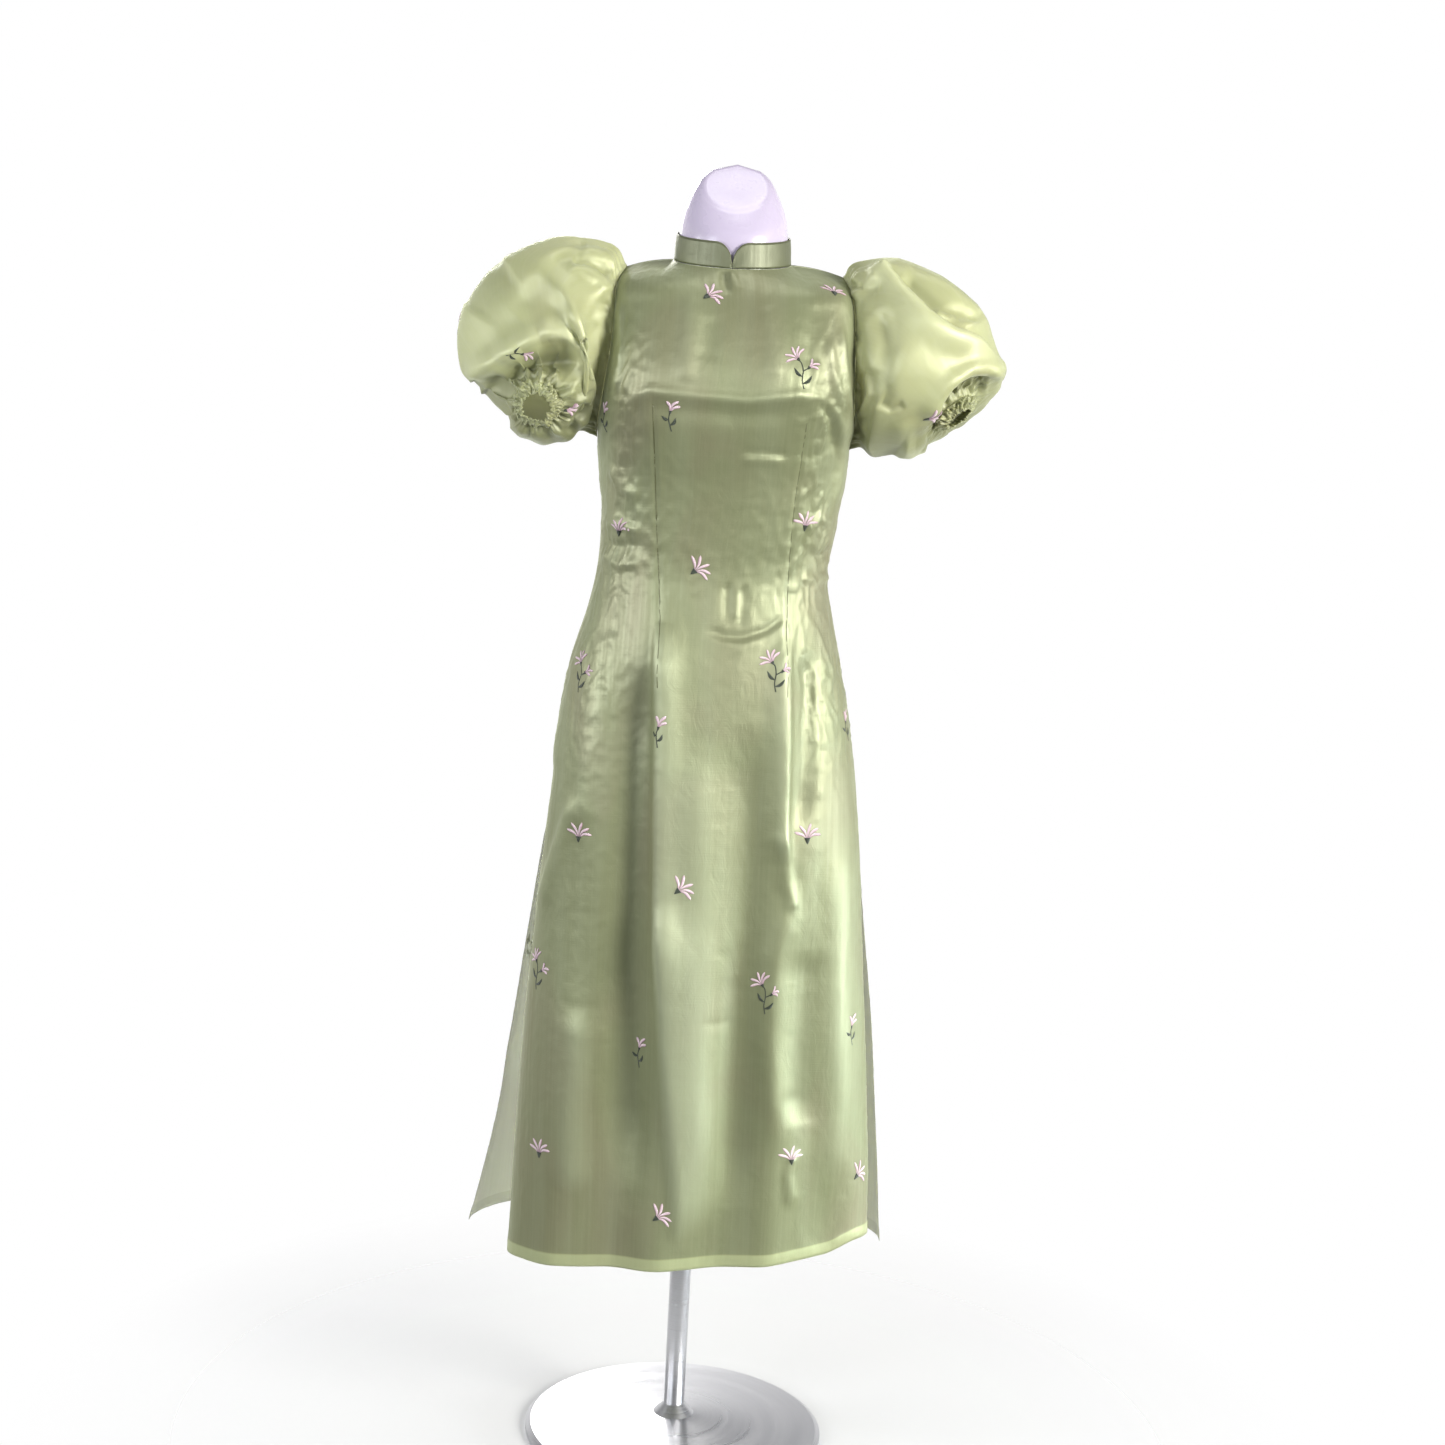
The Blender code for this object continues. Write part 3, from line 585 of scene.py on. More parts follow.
# soft ridges (rise above 0) and troughs (below 0) along drawn lines: points, width, rise, lean
def foldField(x, z, folds, grow=1.0):
    total = np.zeros_like(x)
    for points, width, rise, lean in folds:
        nearest = np.full_like(x, 1e9)
        signed = np.zeros_like(x)
        along = np.zeros_like(x)
        steps = len(points) - 1
        for k in range(steps):
            (ax, az), (bx, bz) = points[k], points[k + 1]
            dx, dz = bx - ax, bz - az
            length = math.hypot(dx, dz)
            share = ((x - ax) * dx + (z - az) * dz) / length**2
            held = np.clip(share, 0, 1)
            ox, oz = x - (ax + held * dx), z - (az + held * dz)
            away = np.hypot(ox, oz)
            closer = away < nearest
            nearest = np.where(closer, away, nearest)
            signed = np.where(closer, (dx * oz - dz * ox) / length, signed)
            along = np.where(closer, (k + held) / steps, along)
        wide = width * (1 + lean * np.tanh(signed / (0.3 * width)))
        fade = easeArray(along / 0.22 + 0.25) * easeArray((1 - along) / 0.22 + 0.25)
        total += grow * rise * fade * np.exp(-((nearest / wide) ** 2))
    return total


# fine crushed creases: thin ridges between dents, from -1 to 1
def crushField(points, scale, sharpness, seed):
    moved = Vector((seed * 3.1, seed * 7.7, seed * 1.3))
    found = []
    for x, y, z in points:
        place = Vector((x * scale[0], y * scale[1], z * scale[2])) + moved
        bent = place + noise.noise_vector(place * 0.6) * 0.9
        found.append((1 - abs(noise.noise(bent))) ** sharpness - 0.55 + 0.4 * noise.noise(bent * 2.3))
    return np.array(found)


# broad soft unevenness, from -1 to 1
def rollField(points, scale, seed):
    moved = Vector((seed * 5.3, seed * 2.9, seed * 8.1))
    return np.array([
        noise.noise(Vector((x * scale[0], y * scale[1], z * scale[2])) + moved) for x, y, z in points
    ])


def bell(value, middle, width):
    return np.exp(-(((value - middle) / width) ** 2))


# The front and the two backs

front = {
    "columns": 144, "rows": 320, "wall": 0.0007, "foldGrow": 1.35,
    # points across and up, width, rise, lean
    "folds": (
        # bust ridge and the hollow below it
        (((-0.112, 1.254), (-0.082, 1.265), (-0.027, 1.262), (0.028, 1.260), (0.082, 1.269), (0.118, 1.257)),
         0.0080, 0.0026, -0.2),
        (((-0.095, 1.246), (-0.030, 1.246), (0.030, 1.244), (0.085, 1.250)), 0.013, -0.0014, 0.0),
        # soft folds above the bust
        (((-0.041, 1.372), (-0.043, 1.320), (-0.045, 1.275)), 0.012, 0.0020, 0.0),
        (((-0.018, 1.350), (-0.022, 1.300)), 0.012, -0.0014, 0.0),
        (((0.040, 1.365), (0.052, 1.320), (0.054, 1.285)), 0.013, 0.0018, 0.0),
        (((-0.122, 1.361), (-0.118, 1.306), (-0.122, 1.262)), 0.005, 0.0022, -0.4),
        (((0.098, 1.365), (0.092, 1.330), (0.095, 1.300)), 0.012, -0.0012, 0.0),
        # pinch below the centre front
        (((-0.003, 1.402), (0.002, 1.392), (0.009, 1.378)), 0.0034, 0.0026, -0.3),
        (((-0.007, 1.400), (-0.008, 1.388), (-0.003, 1.376)), 0.0042, -0.0022, 0.0),
        # underarm and side folds, wearer's left
        (((0.124, 1.345), (0.131, 1.300), (0.139, 1.255), (0.143, 1.215)), 0.0050, 0.0032, -0.3),
        (((0.112, 1.330), (0.120, 1.290), (0.132, 1.250)), 0.0050, 0.0022, 0.0),
        (((0.118, 1.257), (0.131, 1.236), (0.135, 1.195), (0.131, 1.140)), 0.0060, 0.0036, 0.2),
        (((0.104, 1.262), (0.120, 1.244), (0.124, 1.205)), 0.0050, -0.0026, 0.0),
        (((0.098, 1.120), (0.114, 1.128), (0.130, 1.122)), 0.0060, 0.0024, 0.0),
        (((0.096, 1.062), (0.114, 1.055), (0.131, 1.060)), 0.0055, 0.0024, 0.3),
        (((0.100, 1.090), (0.118, 1.084), (0.132, 1.092)), 0.0060, -0.0020, 0.0),
        # side folds, wearer's right
        (((-0.133, 1.232), (-0.138, 1.193), (-0.136, 1.136)), 0.0055, 0.0022, 0.0),
        (((-0.128, 1.172), (-0.108, 1.150), (-0.090, 1.146)), 0.0070, 0.0022, 0.2),
        (((-0.130, 1.108), (-0.108, 1.112), (-0.088, 1.104)), 0.0060, 0.0020, 0.0),
        (((-0.131, 1.072), (-0.110, 1.064), (-0.086, 1.070)), 0.0060, 0.0026, 0.3),
        (((-0.132, 1.088), (-0.112, 1.086), (-0.090, 1.090)), 0.0060, -0.0022, 0.0),
        # creases of the middle
        (((0.022, 1.201), (0.045, 1.203), (0.076, 1.200)), 0.0036, -0.0012, 0.4),
        (((0.024, 1.194), (0.048, 1.194), (0.070, 1.193)), 0.0050, 0.0012, 0.0),
        (((-0.006, 1.001), (0.010, 0.994), (0.036, 0.994), (0.060, 1.003), (0.080, 1.018)), 0.0040, -0.0017, 0.4),
        (((-0.004, 0.990), (0.030, 0.984), (0.060, 0.992)), 0.0080, 0.0008, 0.0),
        (((0.014, 1.055), (0.017, 1.010)), 0.0060, -0.0018, 0.0),
        (((0.031, 1.052), (0.030, 1.008)), 0.0060, -0.0015, 0.0),
        (((0.023, 1.055), (0.024, 1.012)), 0.0060, 0.0014, 0.0),
        # folds that fall from the darts
        (((-0.060, 1.010), (-0.059, 0.930), (-0.056, 0.850), (-0.053, 0.780), (-0.048, 0.690), (-0.036, 0.575)),
         0.0150, 0.0086, 0.66),
        (((-0.048, 0.690), (-0.034, 0.579), (-0.021, 0.480), (-0.008, 0.380), (0.002, 0.290)), 0.024, 0.0080, 0.5),
        (((-0.078, 0.960), (-0.080, 0.860), (-0.078, 0.740), (-0.074, 0.600), (-0.070, 0.470), (-0.064, 0.350)),
         0.024, -0.0108, 0.0),
        (((0.083, 1.000), (0.087, 0.930), (0.091, 0.860), (0.093, 0.790), (0.096, 0.740)), 0.0110, 0.0050, -0.55),
        (((0.108, 0.985), (0.113, 0.920), (0.114, 0.850), (0.110, 0.780)), 0.014, -0.0060, 0.0),
        (((0.093, 0.780), (0.100, 0.720), (0.110, 0.686)), 0.0070, 0.0030, -0.3),
        # soft folds of the skirt
        (((0.046, 0.900), (0.056, 0.760), (0.055, 0.590), (0.056, 0.460), (0.053, 0.330)), 0.027, -0.0072, 0.0),
        (((-0.014, 0.880), (-0.006, 0.760), (0.004, 0.610), (0.012, 0.480), (0.020, 0.350)), 0.024, 0.0052, 0.0),
        (((0.108, 0.700), (0.091, 0.632), (0.090, 0.530), (0.104, 0.410)), 0.013, 0.0036, 0.0),
        (((0.128, 0.640), (0.124, 0.540), (0.130, 0.430)), 0.018, -0.0044, 0.0),
        (((0.160, 0.760), (0.166, 0.620), (0.172, 0.480), (0.170, 0.330)), 0.018, 0.0040, 0.0),
        (((-0.150, 0.800), (-0.168, 0.735), (-0.186, 0.662)), 0.0080, 0.0032, 0.3),
        (((-0.166, 0.980), (-0.172, 0.900), (-0.176, 0.820)), 0.0070, 0.0028, 0.0),
        (((-0.128, 0.940), (-0.134, 0.860), (-0.140, 0.760)), 0.014, 0.0030, 0.0),
        (((-0.128, 0.560), (-0.132, 0.450), (-0.130, 0.340)), 0.022, 0.0046, 0.0),
        (((0.125, 0.400), (0.119, 0.372), (0.124, 0.330)), 0.0060, 0.0030, 0.0),
        (((0.010, 0.556), (0.030, 0.552), (0.048, 0.556)), 0.0040, -0.0004, 0.0),
    ),
    "darts": (
        ((-0.079, 1.251), (-0.077, 1.222), (-0.073, 1.168), (-0.069, 1.112), (-0.065, 1.068), (-0.062, 1.034),
         (-0.060, 0.985), (-0.059, 0.935)),
        ((0.092, 1.238), (0.088, 1.188), (0.084, 1.142), (0.082, 1.088), (0.082, 1.042), (0.084, 0.986),
         (0.088, 0.930)),
    ),
    "hemRise": (0.080, 0.177, 0.010),
}
back = {
    # a paler, less glossy copy of the silk: painted light for the sheer back panels, with their own sheer alpha
    "look": {"green": (0.280, 0.302, 0.165), "brown": (0.275, 0.262, 0.155), "metallic": 0.15, "alpha": 0.56, "through": 0.6,
             "hemColour": (0.190, 0.210, 0.085)},
    "columns": 68, "rows": 280, "wall": 0.0007, "foldGrow": 1.25,
    "folds": (
        (((-0.110, 1.270), (-0.070, 1.290), (-0.030, 1.285)), 0.012, 0.0026, -0.3),
        (((0.112, 1.262), (0.074, 1.284), (0.034, 1.288)), 0.012, 0.0028, -0.3),
        (((-0.124, 1.330), (-0.120, 1.270), (-0.132, 1.225)), 0.0060, 0.0026, 0.0),
        (((0.126, 1.335), (0.122, 1.275), (0.134, 1.225)), 0.0060, 0.0028, 0.0),
        (((-0.120, 1.120), (-0.080, 1.108), (-0.030, 1.112)), 0.0070, 0.0028, 0.3),
        (((-0.124, 1.085), (-0.085, 1.075), (-0.030, 1.080)), 0.0070, -0.0026, 0.0),
        (((0.122, 1.128), (0.080, 1.110), (0.035, 1.116)), 0.0070, 0.0028, 0.3),
        (((0.124, 1.092), (0.080, 1.082), (0.030, 1.086)), 0.0070, -0.0026, 0.0),
        (((-0.110, 1.052), (-0.070, 1.046), (-0.034, 1.050)), 0.0065, 0.0024, 0.0),
        (((0.112, 1.050), (0.072, 1.044), (0.030, 1.050)), 0.0065, 0.0024, 0.0),
        (((-0.070, 0.990), (-0.080, 0.840), (-0.088, 0.640), (-0.096, 0.420)), 0.020, 0.0065, -0.4),
        (((-0.110, 0.960), (-0.124, 0.780), (-0.132, 0.560), (-0.140, 0.340)), 0.022, -0.0070, 0.0),
        (((0.066, 0.990), (0.076, 0.840), (0.090, 0.640), (0.104, 0.420)), 0.020, 0.0065, 0.4),
        (((0.108, 0.950), (0.120, 0.780), (0.136, 0.560), (0.150, 0.340)), 0.022, -0.0070, 0.0),
        (((-0.030, 0.900), (-0.036, 0.700), (-0.034, 0.480)), 0.018, -0.0050, 0.0),
        (((0.034, 0.900), (0.036, 0.700), (0.040, 0.480)), 0.018, -0.0048, 0.0),
        (((-0.168, 0.760), (-0.190, 0.600), (-0.212, 0.400)), 0.016, 0.0050, 0.0),
        (((0.164, 0.740), (0.180, 0.580), (0.196, 0.400)), 0.016, 0.0050, 0.0),
    ),
}
slitTop = 1.008


# one panel of the body: its even grid, its folds and creases, its hem and slit edges
def buildPanel(name, facing, values, uFrom, uTo, look, replaces, offset=0.0):
    columns, rows = values["columns"], values["rows"]
    last = len(frontRows)
    levels, length = evenLevels(facing, last, rows)
    mesh, shares = gridMesh(columns, rows)
    us = uFrom + (uTo - uFrom) * shares[:, 0]
    ts = levels[np.rint(shares[:, 1] * rows).astype(int)]
    setPlaces(mesh, [panelPoint(facing, u, t) for u, t in zip(us, ts)])
    if facing > 0:
        bmesh.ops.reverse_faces(mesh, faces=mesh.faces)
        mesh.normal_update()
    at, normal = places(mesh)
    order = np.lexsort((shares[:, 0], shares[:, 1]))
    table = at[order].reshape(rows + 1, columns + 1, 3)
    stepsAcross = np.linalg.norm(np.diff(table, axis=1), axis=2)
    walkAcross = np.concatenate([np.zeros((rows + 1, 1)), np.cumsum(stepsAcross, axis=1)], axis=1)
    stepsDown = np.linalg.norm(np.diff(table, axis=0), axis=2)
    walkDown = np.concatenate([np.zeros((1, columns + 1)), np.cumsum(stepsDown, axis=0)], axis=0)
    middle = walkAcross[:, [columns // 2]] if uFrom * uTo < 0 else walkAcross[:, [0 if uFrom == 0 else -1]]
    across = np.empty(len(at))
    across[order] = (walkAcross - middle).ravel()
    toHem = np.empty(len(at))
    toHem[order] = (walkDown[-1:] - walkDown).ravel()
    toLeft = np.empty(len(at))
    toLeft[order] = walkAcross.ravel()
    toRight = np.empty(len(at))
    toRight[order] = (walkAcross[:, -1:] - walkAcross).ravel()
    toSide = toRight if uFrom == 0 else toLeft if uTo == 0 else np.minimum(toLeft, toRight)

    x, z = at[:, 0], at[:, 2]
    free = easeArray((slitTop - z) / 0.10)
    hold = np.maximum(free, easeArray((1 - np.abs(us)) / 0.07)) * easeArray(ts / 0.45)
    if uFrom * uTo >= 0:
        hold = hold * easeArray(np.abs(us) / 0.05)
    push = foldField(x, z, values["folds"], values["foldGrow"])
    if facing < 0:
        for points in values["darts"]:
            push += foldField(x, z, ((points, 0.0024, -0.0016, 0.0), (points, 0.0075, 0.0009, 0.0)))
    sides = bell(np.abs(x), 0.108, 0.020)
    crumple = (0.00030 + 0.00200 * sides * bell(z, 1.12, 0.11) + 0.00170 * sides * bell(z, 1.26, 0.05)
               + 0.00130 * bell(np.abs(x), 0.138, 0.034) * bell(z, 0.93, 0.09)
               + 0.00040 * bell(z, 1.08, 0.09))
    push += crumple * crushField(at, (70, 70, 34), 5, 3 + facing)
    push += 0.55 * crumple * crushField(at, (34, 34, 95), 4, 9 + facing)
    push += 0.0016 * easeArray((1.0 - z) / 0.3) * rollField(at, (13, 6, 2.6), 4 + facing)
    push += 0.0006 * rollField(at, (28, 12, 9), 14 + facing)
    pucker = noise.noise
    along = np.array([pucker(Vector((a * 95, facing * 3.7, 0))) for a in across])
    push += 0.0008 * bell(toHem, silk["hemWidth"], 0.006) * along
    push += 0.0005 * easeArray((silk["hemWidth"] + 0.001 - toHem) / 0.002)
    push += 0.0018 * easeArray((0.05 - toHem) / 0.05) * np.array([pucker(Vector((a * 24, 9.1, facing))) for a in across])
    moved = at + normal * (push * hold)[:, None]
    if facing < 0:
        tilt, bow, corner = values["hemRise"]
        low = easeArray((0.46 - z) / 0.21)
        moved[:, 2] += low * (tilt * x + bow * x**2 + corner * easeArray((x - 0.165) / 0.04))
    moved[:, 0] += offset
    moved[:, 1] = facing * np.maximum(facing * moved[:, 1], 0.00022)
    for vert, place in zip(mesh.verts, moved):
        vert.co = place
    setLayer(mesh, "cloth", np.stack([across, toHem], 1))
    setLayer(mesh, "edges", np.stack([np.where(z < slitTop, toSide, 1.0), toHem], 1))
    # the fold push, which the silk turns into painted shade in troughs and painted highlight on ridges
    setLayer(mesh, "depth", np.stack([push * hold, along], 1))
    mesh.normal_update()
    tree = BVHTree.FromBMesh(mesh)
    area = sum(face.calc_area() for face in mesh.faces)
    print(name, "area", round(area, 4), "length", round(length, 3), "width", round(float(walkAcross.max()), 3))
    piece = finishPiece(name, mesh, look, replaces=replaces, wall=values["wall"])
    return piece, tree


# The collar

collar = {
    # a darker copy of the silk: painted shade for the whole collar
    "look": {"green": (0.110, 0.120, 0.060), "brown": (0.110, 0.104, 0.058), "light": (0.200, 0.215, 0.130),
             "sheen": 0.20},
    "height": 0.028, "lean": 0.002, "corner": 0.020, "cornerStart": 0.003, "wall": 0.0014,
    "columns": 110, "rows": 12, "edgeRadius": 0.00055,
}


def collarPoint(along, up):
    gapTurn = shape["seamHalf"] / shape["neckHalf"]
    base = neckline(gapTurn + along * (math.pi - 2 * gapTurn))
    walked = along * shape["neckHalf"] * math.pi
    height = collar["height"]
    if walked < collar["corner"]:
        rounded = math.sqrt(1 - (1 - walked / collar["corner"]) ** 2)
        height = collar["cornerStart"] + (height - collar["cornerStart"]) * rounded
    inward = Vector((-base.x, -base.y, 0)).normalized()
    rise = 2 * shape["seamHalf"] + up * height
    ripple = 0.0005 * math.sin(up * math.pi) * noise.noise(Vector((along * 14, up * 2, 1.7)))
    return base + inward * (collar["lean"] * rise / collar["height"] - ripple) + Vector((0, 0, rise))


# a thin round roll along the points, added to the mesh
def tubeAlong(mesh, points, radius, around=8, layer=None):
    made = bmesh.ops.create_grid(mesh, x_segments=around, y_segments=len(points) - 1, size=0.5)["verts"]
    walked = 0.0
    lengths = [0.0]
    for a, b in zip(points, points[1:]):
        walked += (b - a).length
        lengths.append(walked)
    shares = {}
    for vert in made:
        k = round((vert.co.y + 0.5) * (len(points) - 1))
        turn = (vert.co.x + 0.5) * 2 * math.pi
        ahead = (points[min(k + 1, len(points) - 1)] - points[max(k - 1, 0)]).normalized()
        side = ahead.orthogonal() if abs(ahead.z) > 0.9 else ahead.cross(Vector((0, 0, 1)))
        side.normalize()
        up = side.cross(ahead)
        shares[vert] = (turn / (2 * math.pi), lengths[k])
        vert.co = points[k] + (side * math.cos(turn) + up * math.sin(turn)) * radius
    if layer:
        for vert in made:
            for loop in vert.link_loops:
                loop[layer].uv = shares[vert]
    bmesh.ops.remove_doubles(mesh, verts=made, dist=1e-7)


def buildCollar(side, name, look, edgeLook):
    mesh, shares = gridMesh(collar["columns"], collar["rows"])
    points = [collarPoint(a, 1 - v) for a, v in shares]
    setPlaces(mesh, [Vector((p.x * side, p.y, p.z)) for p in points])
    if side < 0:
        bmesh.ops.reverse_faces(mesh, faces=mesh.faces)
    around = shape["neckHalf"] * math.pi
    values = np.array([(a * around, (1 - v) * collar["height"]) for a, v in shares])
    setLayer(mesh, "cloth", values)
    setLayer(mesh, "edges", np.full_like(values, 1.0))
    setLayer(mesh, "depth", np.zeros_like(values))
    area = sum(face.calc_area() for face in mesh.faces)
    print("collar", name, "area", round(area, 5))
    piece = finishPiece("collar_" + name + "_silk", mesh, look,
                        replaces=("collar_" + name,), wall=collar["wall"])
    edge = bmesh.new()
    layer = edge.loops.layers.uv.new("stitch")
    rim = [collarPoint(k / 90, 1.0) for k in range(91)]
    inward = [Vector((-p.x, -p.y, 0)).normalized() * 0.0006 for p in rim]
    line = [Vector((side * (p.x + i.x), p.y + i.y, p.z)) for p, i in zip(rim, inward)]
    tubeAlong(edge, line, collar["edgeRadius"], 8, layer)
    bmesh.ops.recalc_face_normals(edge, faces=edge.faces)
    finishPiece("collar_" + name + "_edge", edge, edgeLook)
    return piece


# The puff sleeves and their cuffs

sleeves = {
    "columns": 236, "rows": 136, "wall": 0.00060, "gathers": 12, "gatherRise": 0.0035, "foldGrow": 1.5,
    "cuffColumns": 260, "cuffRows": 18, "cuffWall": 0.0012,
    # gatheredShade: how far the lower sleeve is darkened, for the denser gathered cloth and for painted shade
    "cuffWidth": 0.011, "cuffBulge": 0.0025, "cuffSeam": 0.0007, "gatheredShade": 0.0075,
    # several layers of cloth lie in the gathers, so nothing shows through and the tone is deeper
    "cuffLook": {
        "green": (0.440, 0.465, 0.235), "brown": (0.400, 0.390, 0.190), "light": (0.530, 0.555, 0.300), "alpha": 1.0,
    },
    # drawn as seen from the front: points, width, rise, lean
    "folds": {
        -1: (
            # top: the soft valley from the shoulder, and the pinches at the seam
            (((-0.160, 1.412), (-0.182, 1.403), (-0.200, 1.388), (-0.218, 1.364), (-0.236, 1.338)),
             0.0165, -0.0030, 0.2),
            (((-0.165, 1.424), (-0.180, 1.414), (-0.196, 1.400)), 0.0080, -0.0016, 0.0),
            (((-0.176, 1.404), (-0.160, 1.402), (-0.146, 1.396), (-0.135, 1.386)), 0.0060, -0.0046, 0.3),
            (((-0.182, 1.396), (-0.162, 1.390), (-0.147, 1.380), (-0.138, 1.366)), 0.0070, 0.0032, 0.3),
            # soft folds that fan from the armhole
            (((-0.142, 1.376), (-0.158, 1.352), (-0.180, 1.332), (-0.208, 1.322)), 0.0130, 0.0022, 0.0),
            (((-0.138, 1.362), (-0.152, 1.336), (-0.172, 1.314)), 0.0090, -0.0022, 0.0),
            (((-0.141, 1.356), (-0.148, 1.320), (-0.152, 1.280)), 0.0080, 0.0026, 0.0),
            (((-0.146, 1.384), (-0.168, 1.368), (-0.192, 1.356)), 0.0120, -0.0010, 0.0),
            # the lip that hangs over the cuff, and the hollow under it
            (((-0.296, 1.268), (-0.274, 1.270), (-0.250, 1.284), (-0.226, 1.302), (-0.198, 1.318), (-0.174, 1.318),
              (-0.160, 1.307)), 0.0130, 0.0082, 0.5),
            (((-0.164, 1.314), (-0.154, 1.294), (-0.150, 1.268)), 0.0090, 0.0036, 0.0),
            (((-0.274, 1.250), (-0.250, 1.262), (-0.228, 1.277), (-0.204, 1.291), (-0.184, 1.292),
              (-0.170, 1.280)), 0.0145, -0.0150, -0.1),
            (((-0.284, 1.240), (-0.266, 1.226), (-0.250, 1.204)), 0.0190, -0.0125, 0.0),
            (((-0.300, 1.250), (-0.284, 1.238)), 0.0150, -0.0100, 0.0),
            (((-0.258, 1.402), (-0.286, 1.376), (-0.304, 1.346)), 0.0300, -0.0060, 0.0),
            # the lobe round the cuff
            (((-0.150, 1.246), (-0.164, 1.228), (-0.172, 1.208)), 0.0050, -0.0040, 0.0),
            (((-0.242, 1.228), (-0.226, 1.212), (-0.204, 1.206)), 0.0080, 0.0024, 0.0),
            (((-0.166, 1.262), (-0.178, 1.254), (-0.184, 1.242)), 0.0060, 0.0030, 0.0),
        ),
        1: (
            (((0.150, 1.402), (0.172, 1.406), (0.193, 1.387), (0.218, 1.362), (0.243, 1.347), (0.269, 1.338),
              (0.307, 1.311)), 0.0110, 0.0090, -0.7),
            (((0.228, 1.372), (0.240, 1.362), (0.252, 1.362)), 0.0036, 0.0026, 0.5),
            (((0.246, 1.366), (0.256, 1.356), (0.268, 1.352), (0.278, 1.354)), 0.0040, 0.0028, 0.5),
            (((0.262, 1.366), (0.272, 1.360), (0.282, 1.362)), 0.0034, -0.0020, 0.0),
            (((0.147, 1.410), (0.186, 1.414), (0.232, 1.397), (0.273, 1.370), (0.296, 1.342)), 0.0075, 0.0036, 0.0),
            (((0.190, 1.404), (0.212, 1.386), (0.236, 1.368), (0.262, 1.356)), 0.0115, -0.0060, 0.0),
            (((0.222, 1.366), (0.240, 1.366), (0.256, 1.354)), 0.0034, 0.0022, 0.0),
            (((0.242, 1.360), (0.258, 1.350), (0.274, 1.354)), 0.0034, 0.0022, 0.0),
            (((0.230, 1.246), (0.238, 1.268), (0.256, 1.292), (0.274, 1.302), (0.299, 1.302), (0.312, 1.296)),
             0.0085, 0.0058, 0.5),
            (((0.246, 1.254), (0.258, 1.276), (0.276, 1.288), (0.296, 1.288)), 0.0110, -0.0090, 0.0),
            (((0.146, 1.330), (0.150, 1.298), (0.147, 1.270), (0.152, 1.244)), 0.0032, 0.0030, 0.0),
            (((0.156, 1.300), (0.160, 1.272), (0.153, 1.246), (0.160, 1.226)), 0.0028, 0.0026, 0.0),
            (((0.141, 1.300), (0.142, 1.262), (0.147, 1.236)), 0.0032, 0.0024, 0.0),
            (((0.166, 1.366), (0.176, 1.330), (0.175, 1.286), (0.180, 1.258)), 0.0095, -0.0034, 0.0),
            (((0.152, 1.362), (0.156, 1.321), (0.160, 1.294)), 0.0085, 0.0026, 0.0),
            (((0.168, 1.262), (0.184, 1.256), (0.200, 1.262)), 0.0050, -0.0030, 0.4),
            (((0.133, 1.392), (0.141, 1.388), (0.149, 1.389)), 0.0040, -0.0034, 0.0),
            (((0.136, 1.376), (0.148, 1.388), (0.166, 1.400)), 0.0060, 0.0030, 0.0),
            (((0.196, 1.246), (0.204, 1.226), (0.222, 1.212)), 0.0140, 0.0034, 0.0),
            (((0.198, 1.213), (0.216, 1.208), (0.234, 1.214)), 0.0150, 0.0055, 0.0),
            (((0.250, 1.238), (0.262, 1.246)), 0.0100, -0.0050, 0.0),
        ),
    },
    # the same kind of folds on the hidden back of each sleeve
    "backFolds": (
        (((0.150, 1.400), (0.178, 1.372), (0.214, 1.350), (0.262, 1.344)), 0.0095, 0.0046, 0.0),
        (((0.168, 1.402), (0.204, 1.386), (0.240, 1.368)), 0.0120, -0.0040, 0.0),
        (((0.146, 1.350), (0.160, 1.310), (0.172, 1.270), (0.190, 1.240)), 0.0070, 0.0040, 0.0),
        (((0.160, 1.350), (0.182, 1.310), (0.204, 1.276)), 0.0110, -0.0044, 0.0),
        (((0.190, 1.350), (0.220, 1.320), (0.256, 1.300)), 0.0120, 0.0034, 0.0),
        (((0.146, 1.300), (0.150, 1.260), (0.160, 1.232)), 0.0040, 0.0032, 0.0),
        (((0.200, 1.250), (0.226, 1.262), (0.262, 1.270)), 0.0080, 0.0034, 0.0),
    ),
}


def gatherWave(turn):
    angle = turn * 2 * math.pi
    return math.cos(sleeves["gathers"] * angle + 0.5 * math.sin(2 * angle + 1) + 0.3 * math.sin(3 * angle))


# irregular close pleats round a gathered seam, the same at both ends of the turn
def fineWave(turn, count, seed):
    angle = turn * 2 * math.pi
    bent = 1.3 * math.sin(3 * angle + seed) + 0.8 * math.sin(7 * angle + 2 * seed)
    lively = 0.65 + 0.35 * math.sin(5 * angle + 3 * seed)
    return math.cos(count * angle + bent) * lively


# uneven puckers of cloth drawn up on a thread, closed round the turn
def ruffle(turn, along, seed):
    angle = turn * 2 * math.pi
    place = Vector((math.cos(angle) * 5.2, math.sin(angle) * 5.2, along * 3.0 + seed * 4.7))
    return noise.noise(place) + 0.55 * noise.noise(place * 2.3)


